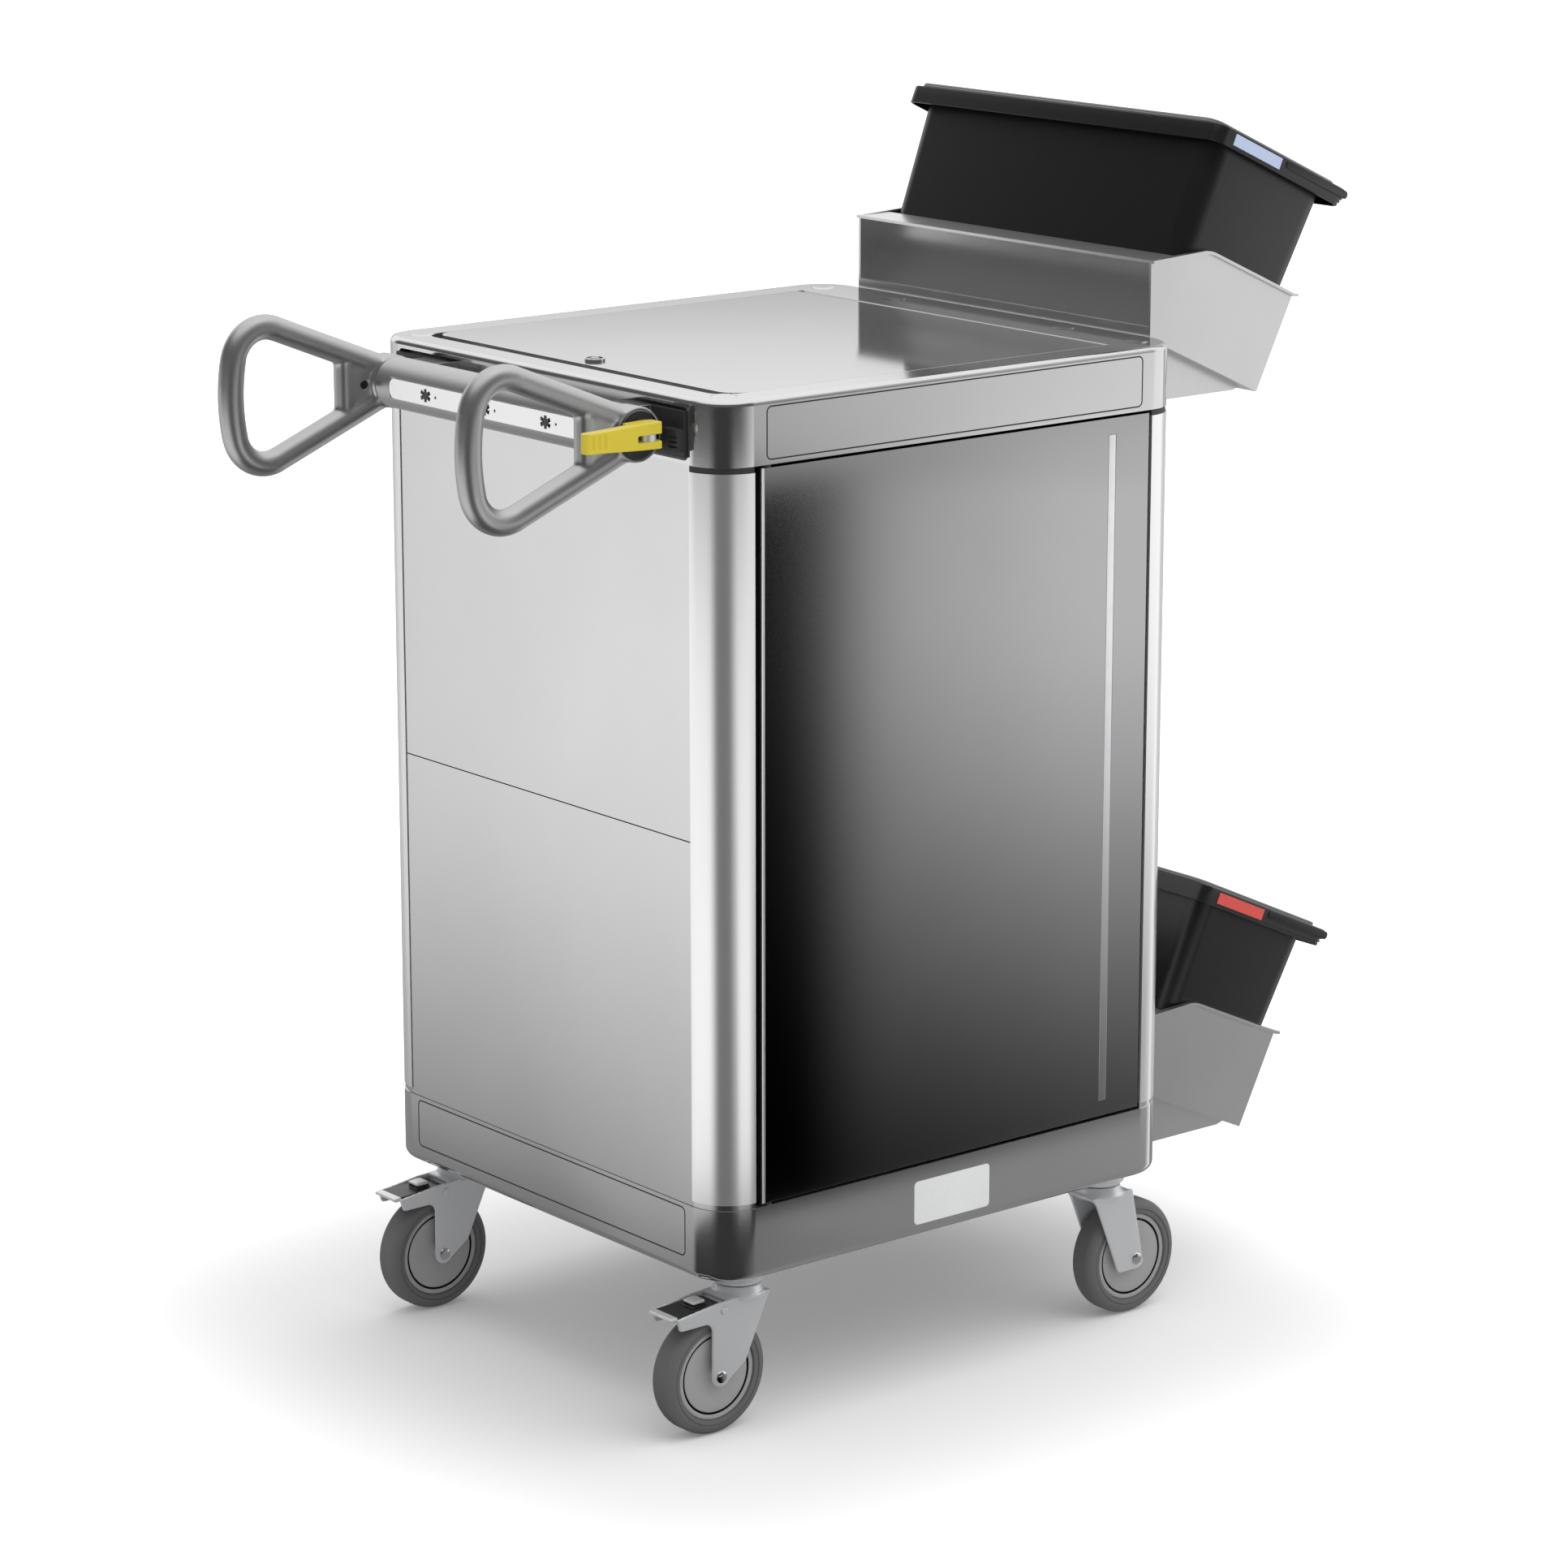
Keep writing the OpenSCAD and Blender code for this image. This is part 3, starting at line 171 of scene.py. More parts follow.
def finish(name, colour, rough, metallic=0.0, grain=900.0, relief=0.08, mottle=0.05, wander=0.06,
           specular=0.5):
    """Procedural finish: the colour wanders with a broad noise by the share mottle, and a fine noise of the
    scale grain gives the relief and moves the roughness by wander."""
    mat = bpy.data.materials.new(name)
    mat.use_nodes = True
    nodes, links = mat.node_tree.nodes, mat.node_tree.links
    bsdf = nodes["Principled BSDF"]
    bsdf.inputs["Metallic"].default_value = metallic
    bsdf.inputs["Specular IOR Level"].default_value = specular
    coords = nodes.new("ShaderNodeTexCoord")
    broad = noise(nodes, links, coords, scale=7.0, detail=5.0)
    fine = noise(nodes, links, coords, scale=grain, detail=2.0)
    share = ranged(nodes, links, broad, start=(0.3, 0.7), target=(0.0, 1.0))
    tone = nodes.new("ShaderNodeMix")
    tone.data_type = "RGBA"
    tone.inputs["A"].default_value = (*(max(0.0, c * (1 - mottle)) for c in colour), 1)
    tone.inputs["B"].default_value = (*(min(1.0, c * (1 + mottle)) for c in colour), 1)
    links.new(share.outputs["Result"], tone.inputs["Factor"])
    links.new(tone.outputs["Result"], bsdf.inputs["Base Color"])
    limits = (max(0.02, rough - wander), min(1.0, rough + wander))
    patch = ranged(nodes, links, fine, start=(0.35, 0.65), target=limits)
    links.new(patch.outputs["Result"], bsdf.inputs["Roughness"])
    bump = nodes.new("ShaderNodeBump")
    bump.inputs["Strength"].default_value = relief
    bump.inputs["Distance"].default_value = 0.0006
    links.new(fine.outputs["Fac"], bump.inputs["Height"])
    links.new(bump.outputs["Normal"], bsdf.inputs["Normal"])
    return mat


def make_finishes(c):
    """All finishes by slot name; chrome and bracket are looks that no slot names."""
    smooth = {"relief": 0.001, "mottle": 0.02, "wander": 0.012}
    satin = {"metallic": 1.0, "grain": 700, "mottle": 0.02}
    return {
        "moulding": finish("silver moulding", c.moulding, 0.11, metallic=0.95, **smooth),
        "trim": finish("silver inlay", c.moulding, 0.11, metallic=0.95, **smooth),
        "panel": finish("panel satin", c.panel, 0.22, relief=0.004, wander=0.015, **satin),
        "door": finish("door satin", c.door, 0.07, relief=0.002, wander=0.01, **satin),
        "aluminium": finish("anodised", c.aluminium, 0.22, metallic=0.8, relief=0.001, mottle=0.01,
                            wander=0.01),
        "sheet": finish("tray sheet", c.sheet, 0.30, metallic=1.0, grain=800, relief=0.004, mottle=0.03,
                        wander=0.015),
        "zinc": finish("zinc plate", c.zinc, 0.34, metallic=0.55, grain=60, relief=0.001, mottle=0.02,
                       wander=0.01),
        "chrome": finish("bright zinc", c.zinc, 0.14, metallic=1.0, grain=60, relief=0.002, mottle=0.02,
                         wander=0.02),
        "handle": finish("handle silver", c.handle, 0.36, metallic=0.9, grain=1400, relief=0.004, mottle=0.02,
                         wander=0.015),
        "black": finish("black moulding", c.black, 0.35, grain=1200, relief=0.06, specular=0.8),
        "bracket": finish("bracket grey", c.bracket, 0.45, grain=1200, relief=0.06),
        "yellow": finish("lever yellow", c.yellow, 0.4, grain=1400, relief=0.05),
        "lid": finish("lid satin", c.lid, 0.08, metallic=0.9, grain=1200, relief=0.003, mottle=0.02,
                      wander=0.01),
        "bin_lid": finish("bin lid grey", c.bin_lid, 0.4, grain=1200),
        "white": finish("bare plate", c.plate, 0.3, relief=0.01),
        "label_blue": finish("blue label", c.label_blue, 0.3, relief=0.01),
        "label_red": finish("red label", c.label_red, 0.3, relief=0.01),
        "tyre": finish("grey rubber", c.tyre, 0.55, grain=700, relief=0.12),
        "hub": finish("hub grey", c.hub, 0.45),
    }


def coat(obj, slot):
    """Gives an object one finish."""
    obj.data.materials.clear()
    obj.data.materials.append(FINISH[slot])


def second_finish(obj, slot, picked):
    """Gives the picked faces of an object another finish."""
    obj.data.materials.append(FINISH[slot])
    obj.data.polygons.foreach_set("material_index", picked.astype(np.int32))


class CART_OT_finishes(bpy.types.Operator):
    """Make the finishes and put them on the solids"""
    bl_idname = "cart.finishes"
    bl_label = "Finishes"

    def execute(self, context):
        FINISH.update(make_finishes(context.scene.cart_colours))
        for part in frame["record"]["subparts"]:
            coat(NODES[part["node"]], part["material_slot"])
        coat(NODES["door_pivots"], "black")
        return {"FINISHED"}


# Numbers and outlines

def step(v, lo, hi):
    """Smooth step from 0 at lo to 1 at hi: 3 t t - 2 t t t of the clipped share t."""
    t = np.clip((v - lo) / (hi - lo), 0.0, 1.0)
    return t * t * (3 - 2 * t)


def between(v, opens, closes):
    """1 between two soft edges, each given by where it starts and ends, and 0 outside them."""
    return step(v, *opens) * (1 - step(v, *closes))


def mix(a, b, share):
    """Value between a at share 0 and b at share 1."""
    return a + (b - a) * share


def placed(points, origin, ex, ey, ez):
    """Local points carried to a frame: origin + x ex + y ey + z ez."""
    return np.asarray(origin) + np.asarray(points) @ np.array([ex, ey, ez], float)


def arc(cx, cy, r, a0, a1, n=8):
    """Points of a circular arc from a0 to a1 degrees."""
    t = np.radians(np.linspace(a0, a1, n + 1))
    return [(cx + r * np.cos(v), cy + r * np.sin(v)) for v in t]


def soft_rect(u0, u1, v0, v1, r, n=8):
    """Outline of a rectangle with quarter-circle corners, counted anticlockwise: each corner's centre plus
    r times (cos, sin) over its quarter turn."""
    t = np.linspace(0.0, 0.5 * np.pi, n + 1)
    turn = np.array([-0.5, 0.0, 0.5, 1.0])[:, None] * np.pi + t[None, :]
    cx = np.array([u1 - r, u1 - r, u0 + r, u0 + r])[:, None]
    cy = np.array([v0 + r, v1 - r, v1 - r, v0 + r])[:, None]
    return np.stack([cx + r * np.cos(turn), cy + r * np.sin(turn)], -1).reshape(-1, 2)


def inset(outline, d):
    """Outline moved inwards by d along the mitred normal of its two neighbouring edges (anticlockwise)."""
    e0 = outline - np.roll(outline, 1, 0)
    e1 = np.roll(outline, -1, 0) - outline
    n0 = np.stack([-e0[:, 1], e0[:, 0]], -1) / np.maximum(np.linalg.norm(e0, axis=1), 1e-12)[:, None]
    n1 = np.stack([-e1[:, 1], e1[:, 0]], -1) / np.maximum(np.linalg.norm(e1, axis=1), 1e-12)[:, None]
    m = (n0 + n1) / (1.0 + np.clip((n0 * n1).sum(1), -0.6, 1.0))[:, None]
    return outline + d * m


def at_level(outline, z):
    """Flat outline lifted to the level z."""
    return np.column_stack([outline, np.full(len(outline), z)])


# Surfaces

def skin(rows, caps=True, ring=False):
    """Vertices and faces of a stack of closed outlines: rows has shape (levels, points, 3), neighbouring
    points and levels are joined by quads, and the first and last outline are closed by one polygon each,
    or joined to each other when the stack itself is a ring."""
    rows = np.asarray(rows, float)
    levels, count, _ = rows.shape
    level = np.arange(levels if ring else levels - 1)[:, None]
    point = np.arange(count)[None, :]
    a = level * count + point
    b = level * count + (point + 1) % count
    up = ((level + 1) % levels - level) * count
    faces = np.stack([a, b, b + up, a + up], -1).reshape(-1, 4).tolist()
    if caps and not ring:
        faces.append(list(range(count))[::-1])
        faces.append(list(range((levels - 1) * count, levels * count)))
    return rows.reshape(-1, 3), faces


def joined(*shells):
    """One vertex and face list of several shells."""
    verts, faces, base = [], [], 0
    for v, f in shells:
        verts.append(np.asarray(v, float))
        faces += [[i + base for i in face] for face in f]
        base += len(v)
    return np.concatenate(verts), faces


def slab(outline, z0, z1, edge, n=4):
    """Plate of an outline from z0 to z1 whose upper and lower edges are quarter rounds: at the angle t the
    outline is inset by edge (1 - cos t) and its level is edge (1 - sin t) from the face."""
    t = np.linspace(0.5 * np.pi, 0.0, n + 1)
    low = [(edge * (1 - np.cos(a)), z0 + edge * (1 - np.sin(a))) for a in t]
    high = [(d, z0 + z1 - z) for d, z in reversed(low)]
    return skin([at_level(inset(outline, d), z) for d, z in low + high])


def lathe(profile, n=96, ring=True):
    """Surface of revolution about local z: each profile point (radius, height) goes round the axis."""
    a = np.linspace(0.0, 2 * np.pi, n, endpoint=False)
    r, z = np.asarray(profile, float).T[:, :, None]
    rows = np.stack([r * np.cos(a), r * np.sin(a), np.broadcast_to(z, (len(z), n))], -1)
    return skin(rows, caps=False, ring=ring)


def mesh_of(name, shell):
    """Mesh of a vertex and face list."""
    mesh = bpy.data.meshes.new(name)
    mesh.from_pydata(shell[0].tolist(), [], shell[1])
    return mesh


def face_rows(obj, field):
    """Centres or normals of an object's faces, one row each."""
    values = np.empty(3 * len(obj.data.polygons))
    obj.data.polygons.foreach_get(field, values)
    return values.reshape(-1, 3)


def point_rows(obj):
    """Points of an object's mesh, one row each."""
    values = np.empty(3 * len(obj.data.vertices))
    obj.data.vertices.foreach_get("co", values)
    return values.reshape(-1, 3)


def move_points(obj, at):
    """Puts an object's points at new places."""
    obj.data.vertices.foreach_set("co", at.ravel())
    obj.data.update()


def link(name, mesh, slot, body, stands_for=(), crease=35.0, look=None):
    """Puts a finished mesh into the scene as a piece that rides on a body. With a crease angle, its doubles
    are merged, its faces turned outward and its shading is smooth except along edges sharper than that."""
    if crease:
        work = bmesh.new()
        work.from_mesh(mesh)
        bmesh.ops.remove_doubles(work, verts=work.verts, dist=1e-6)
        bmesh.ops.dissolve_degenerate(work, edges=work.edges, dist=1e-7)
        bmesh.ops.recalc_face_normals(work, faces=work.faces)
        work.to_mesh(mesh)
        work.free()
        mesh.shade_smooth()
        mesh.set_sharp_from_angle(angle=math.radians(crease))
    obj = bpy.data.objects.new(name, mesh)
    bpy.context.scene.collection.objects.link(obj)
    coat(obj, look or slot)
    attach(obj, body)
    if stands_for:
        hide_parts(*stands_for)
    return obj


# Finer copies of the solids

def span(node):
    """Lowest corner, highest corner and middle of a solid, as arrays in metres."""
    lo, hi = (np.array(v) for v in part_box(node))
    return lo, hi, 0.5 * (lo + hi)


def applied(temp):
    """Mesh of a helper object with its modifiers applied; the helper is removed."""
    bpy.context.view_layer.update()
    done = bpy.data.meshes.new_from_object(temp.evaluated_get(bpy.context.evaluated_depsgraph_get()))
    bpy.data.objects.remove(temp)
    return done


def blended(node, name, slot, body, grain, rounds):
    """Copy of a solid whose crossings are blended: the solid is remeshed on an even grid and each point is
    moved towards the mean of its neighbours for some rounds."""
    temp = bpy.data.objects.new("temp", NODES[node].data.copy())
    bpy.context.scene.collection.objects.link(temp)
    weld = temp.modifiers.new("weld", "WELD")
    weld.merge_threshold = 1e-5
    grid = temp.modifiers.new("grid", "REMESH")
    grid.mode = "VOXEL"
    grid.voxel_size = grain
    ease = temp.modifiers.new("ease", "SMOOTH")
    ease.factor, ease.iterations = 0.5, rounds
    return link(name, applied(temp), slot, body, (node,), crease=80.0)


def eased(node, name, slot, body, width, crease=30.0):
    """Copy of a solid whose sharp edges are rounded: the triangles are merged into flat faces, and each edge
    sharper than the crease angle becomes a narrow round of the given width. Large faces weigh most in the
    shading, so they stay flat."""
    work = bmesh.new()
    work.from_mesh(NODES[node].data)
    bmesh.ops.remove_doubles(work, verts=work.verts, dist=1e-5)
    bmesh.ops.dissolve_limit(work, angle_limit=math.radians(0.4), verts=work.verts, edges=work.edges)
    mesh = bpy.data.meshes.new(name)
    work.to_mesh(mesh)
    work.free()
    mesh.shade_smooth()
    temp = bpy.data.objects.new("temp", mesh)
    bpy.context.scene.collection.objects.link(temp)
    edge = temp.modifiers.new("edge", "BEVEL")
    edge.width, edge.segments = width, 2
    edge.limit_method, edge.angle_limit = "ANGLE", math.radians(crease)
    shading = temp.modifiers.new("shading", "WEIGHTED_NORMAL")
    shading.mode = "FACE_AREA"
    return link(name, applied(temp), slot, body, (node,), crease=None)


# Casters

def wheel_shells(bead, groove, half_w, r_out):
    """Tyre and wheel centre as profiles of radius and half width, mirrored about the middle plane and turned
    about the axle: a crowned tread, a sidewall with a thin ring line, a rim band, a deep groove and a dished
    disc with a boss."""
    shoulder, ring, disc = 0.0098, half_w - 0.003, half_w - 0.0036
    side = [(bead, half_w - 0.0018), (bead + 0.0006, half_w - 0.0009), (bead + 0.0044, half_w - 0.0004),
            (bead + 0.0049, half_w - 0.0009), (bead + 0.0056, half_w - 0.0009),
            (bead + 0.0061, half_w - 0.0002)]
    side += arc(r_out - shoulder, half_w - shoulder, shoulder, 90, 4, 12)
    side += [(r_out, 0.0035)]
    boss = [(0.0041, half_w + 0.0022), (0.0088, half_w + 0.0022), (0.0091, half_w + 0.0018),
            (0.0093, disc - 0.0005)]
    dish = [(0.012, disc - 0.0012), (0.017, disc - 0.0012), (0.027, disc - 0.0004)]
    slot = [(groove - 0.0022, disc), (groove - 0.0013, disc - 0.0004), (groove - 0.0011, disc - 0.001),
            (groove - 0.001, disc - 0.0048), (groove + 0.001, disc - 0.0048), (groove + 0.0011, ring - 0.001),
            (groove + 0.0015, ring - 0.0002), (groove + 0.002, ring)]
    rim = [(bead - 0.0012, ring), (bead - 0.0006, ring - 0.0003), (bead - 0.0004, ring - 0.001)]
    halves = side, boss + dish + slot + rim
    return [lathe(half + [(r, -w) for r, w in reversed(half)], 128) for half in halves]


class CART_OT_wheels(bpy.types.Operator):
    """Tyres and wheel centres"""
    bl_idname = "cart.wheels"
    bl_label = "Wheels"

    def execute(self, context):
        groove_half, groove_floor = 0.0012, 0.0045
        size = context.scene.cart_sizes
        for i in range(1, 5):
            lo, hi, mid = span(f"tyre_{i}")
            _, half_w, r_out = 0.5 * (hi - lo)
            tyre, hub = wheel_shells(size.tyre_bead, size.groove, half_w, r_out)
            self.piece(i, "tread", tyre, mid, "tyre", "tyre")
            centre = self.piece(i, "wheel_centre", hub, mid, "hub", "wheel_hub")
            # Faces deep in the ring groove get the black finish: painted shade in the groove.
            at = face_rows(centre, "center") - mid
            r = np.hypot(at[:, 0], at[:, 2])
            deep = (abs(r - size.groove) < groove_half) & (abs(at[:, 1]) < half_w - groove_floor)
            second_finish(centre, "black", deep)
        return {"FINISHED"}

    def piece(self, i, name, shell, mid, slot, node):
        """One turned piece of a wheel, with its axis laid along the axle."""
        mesh = mesh_of(name, (placed(shell[0], mid, X, Z, -Y), shell[1]))
        return link(f"{name}_{i}", mesh, slot, f"wheel_{i}", (f"{node}_{i}",))


class CART_OT_forks(bpy.types.Operator):
    """Caster forks, cups, axle heads and brake pedals"""
    bl_idname = "cart.forks"
    bl_label = "Forks"

    def execute(self, context):
        grain = context.scene.cart_sizes.fork_grain
        for i in range(1, 5):
            blended(f"caster_fork_{i}", f"fork_plate_{i}", "zinc", f"caster_{i}", grain, rounds=11)
            self.axle(i)
        for i in (1, 2):
            self.pedal(i, 0.8 * grain)
        self.cups()
        return {"FINISHED"}

    def axle(self, i):
        """Axle with a domed rivet head at each end: a shaft, a thin flange and a quarter-ellipse dome."""
        shaft, dome, flange, lip = 0.004, 0.0026, 0.0005, 0.0004
        lo, hi, mid = span(f"axle_{i}")
        r, half, _ = 0.5 * (hi - lo)
        t = np.linspace(0.0, 0.5 * np.pi, 9)
        head = np.column_stack([r * np.cos(t), half - dome + dome * np.sin(t)])
        head[-1, 0] = 0.0
        seat = half - dome - flange
        side = np.concatenate([[(shaft, 0.0), (shaft, seat), (r - lip, seat)], head])
        v, f = lathe(np.concatenate([side[::-1] * (1, -1), side]), 48, ring=False)
        link(f"axle_pin_{i}", mesh_of("axle", (placed(v, mid, X, Z, -Y), f)), "zinc", f"caster_{i}",
             (f"axle_{i}",), look="chrome")

    def pedal(self, i, grain):
        """Brake pedal: the blended rocker with its raised tab, its toe and its rivets in bare zinc."""
        tab_deep, tab_half, toe_long, rivet_off = 0.0035, 0.0095, 0.009, 0.0195
        lo, hi, mid = span(f"brake_pedal_{i}")
        obj = blended(f"brake_pedal_{i}", f"pedal_{i}", "black", f"pedal_{i}", grain, rounds=5)
        at = face_rows(obj, "center")
        off = abs(at[:, 1] - mid[1])
        tab = (at[:, 2] > hi[2] - tab_deep) & (off < tab_half)
        toe = at[:, 0] < lo[0] + toe_long
        rivet = off > rivet_off
        second_finish(obj, "zinc", tab | toe | rivet)

    def cups(self):
        """Cups over the swivel bearings: a turned profile with a rolled lower lip, a dark gap and a race."""
        r, seat, pin = 0.027, 0.022, 0.006
        lo, hi, _ = span("caster_cups")
        top = span("base_tray")[0][2]
        foot = lo[2] - top
        profile = [(0.0, 0.004), (seat, 0.004), (seat, 0.0), (r - 0.002, 0.0), (r - 0.0006, -0.0008),
                   (r, -0.0024), (r, -0.0098), (r - 0.0005, -0.0112), (r - 0.0016, -0.012),
                   (r - 0.0030, -0.0121), (r - 0.0034, -0.0128), (r - 0.0034, -0.0136), (r - 0.006, -0.014),
                   (pin, -0.014), (pin, foot), (0.0, foot)]
        v, f = lathe(profile, 72, ring=False)
        shells = [(v + np.array([cx, cy, top]), f)
                  for cx in (lo[0] + r, hi[0] - r) for cy in (lo[1] + r, hi[1] - r)]
        link("swivel_cups", mesh_of("cups", joined(*shells)), "zinc", "cart", ("caster_cups",), crease=50.0)


# Push handles

class CART_OT_handles(bpy.types.Operator):
    """Push-handle loops with blended hubs, clamp levers and rosettes, with painted shade in the holes of the
    loops' webs and in each six-lobed socket of the bar
    """
    bl_idname = "cart.handles"
    bl_label = "Push handles"

    def execute(self, context):
        grain = context.scene.cart_sizes.loop_grain
        for side, narrowing in (("near", 0.24), ("far", 0.55)):
            loop = blended(f"handle_loop_{side}", f"push_loop_{side}", "handle", f"loop_{side}",
                           grain, rounds=14)
            lever = blended(f"clamp_lever_{side}", f"cam_lever_{side}", "yellow", f"lever_{side}",
                            0.4 * grain, rounds=5)
            loop.visible_glossy = lever.visible_glossy = False
            hub = span(f"clamp_rosette_{side}")[2]
            self.taper(lever, hub, narrowing)
            eased(f"clamp_rosette_{side}", f"rosette_{side}", "black", f"loop_{side}", width=0.0008)
            self.bore(side, hub)
        self.sockets()
        return {"FINISHED"}

    def taper(self, lever, hub, share):
        """Narrows a lever towards its free end: the height over its own middle line shrinks with the distance
        from the hub, by the given share at the free end."""
        at = point_rows(lever)
        middle = at[:, [0, 2]].mean(0)
        flat = at[:, [0, 2]] - middle
        along = np.linalg.eigh(flat.T @ flat)[1][:, 1]
        if (middle - hub[[0, 2]]) @ along < 0:
            along = -along
        up = np.array([-along[1], along[0]])
        d, h = flat @ along, flat @ up
        shrink = share * step(d, d.min(), d.max())
        at[:, [0, 2]] -= (shrink * h)[:, None] * up
        move_points(lever, at)

    def bore(self, side, hub):
        """Painted shade in the hole through the web of a loop: a black cylinder across the loop, just proud
        of both its faces.
        """
        r, half, off = 0.0044, 0.0084, 0.036
        v, f = lathe([(0.0, -half), (r, -half), (r, half), (0.0, half)], 40, ring=False)
        at = np.array([hub[0] - off, span(f"handle_loop_{side}")[2][1], hub[2]])
        link(f"bore_{side}", mesh_of("bore", (placed(v, at, X, Z, -Y), f)), "black", f"loop_{side}")

    def sockets(self):
        """Painted shade in each six-lobed socket of the bar's strip: the outline is a circle whose radius
        swings six times per turn, as a thin black disc level with the strip's face."""
        mean, swing, lobes = 0.0053, 0.0013, 6
        proud, deep, pitch = 0.0001, 0.002, 0.1
        lo, _, mid = span("crossbar_strip")
        t = np.linspace(0.0, 2 * np.pi, 96, endpoint=False)
        r = mean + swing * np.cos(lobes * t)
        shells = []
        for y in (-pitch, 0.0, pitch):
            rows = [np.column_stack([np.full(len(t), x), y + r * np.sin(t), mid[2] + r * np.cos(t)])
                    for x in (lo[0] - proud, lo[0] + deep)]
            shells.append(skin(rows))
        link("sockets", mesh_of("sockets", joined(*shells)), "black", "cart", crease=30.0)


# Bins

def quarter(start, end, n):
    """Inset and drop along a quarter round of radius 1, for angles from start to end."""
    t = np.linspace(start, end, n)
    return [(1 - math.cos(a), 1 - math.sin(a)) for a in t]


def bin_shell(size, lean, rim_u):
    """Tapered bin with a turned-over rim as one stack of round-cornered outlines: up the outside, out under
    the rim, down and up its stepped skirt, over the top and down the inside to the floor."""
    foot_round, rim_round, skirt, lip, fillet = 0.006, 0.0015, 0.003, 0.0005, 0.005
    corner, rim_corner, skirt_corner, mouth_corner = 0.022, 0.014, 0.012, 0.019
    h, wall, rim_v = size.bin_height, size.bin_wall, size.rim_half
    foot_u, foot_v = size.foot_half, size.mouth_half - h * lean
    u0, u1 = rim_u
    top = h + size.rim_height

    def body(z, thick, r, level=None):
        """Outline of the tapered body at z, moved in by a thickness, and its own level where that differs."""
        hu, hv = foot_u + z * lean - thick, foot_v + z * lean - thick
        return -hu, hu, -hv, hv, r, z if level is None else level

    stack = [body(0.0, foot_round, corner - foot_round)]
    stack += [body(foot_round * drop, foot_round * d, corner - foot_round * d)
              for d, drop in quarter(1.2, 0.0, 5)]
    stack += [body(top - skirt, 0.0, corner),
              (u0 + skirt, u1 - 0.006, skirt - rim_v, rim_v - skirt, skirt_corner, top - skirt),
              (u0 + skirt, u1 - 0.0075, skirt - rim_v, rim_v - skirt, skirt_corner, h),
              (u0 + lip, u1 - 0.0055, lip - rim_v, rim_v - lip, rim_corner, h)]
    for out, rise in ((0.005, 0.0005), (0.005, 0.0045), (0.0026, 0.0048), (0.0026, 0.0062), (0.0038, 0.0066),
                      (0.0038, 0.0082), (0.0002, 0.0087)):
        stack.append((u0, u1 - out, -rim_v, rim_v, rim_corner, h + rise))
    for d, drop in quarter(0.0, 0.5 * math.pi, 5):
        e = rim_round * d
        stack.append((u0 + e, u1 - e, e - rim_v, rim_v - e, rim_corner - e, top - rim_round * drop))
    stack += [body(top, wall + rim_round * (d - 1), mouth_corner, top - rim_round * drop)
              for d, drop in quarter(0.5 * math.pi, 0.0, 4)]
    stack += [body(top - 0.004, wall, mouth_corner), body(wall + fillet, wall, 0.017),
              body(wall, wall + fillet, 0.012)]
    return skin([at_level(soft_rect(*outline), z) for *outline, z in stack])


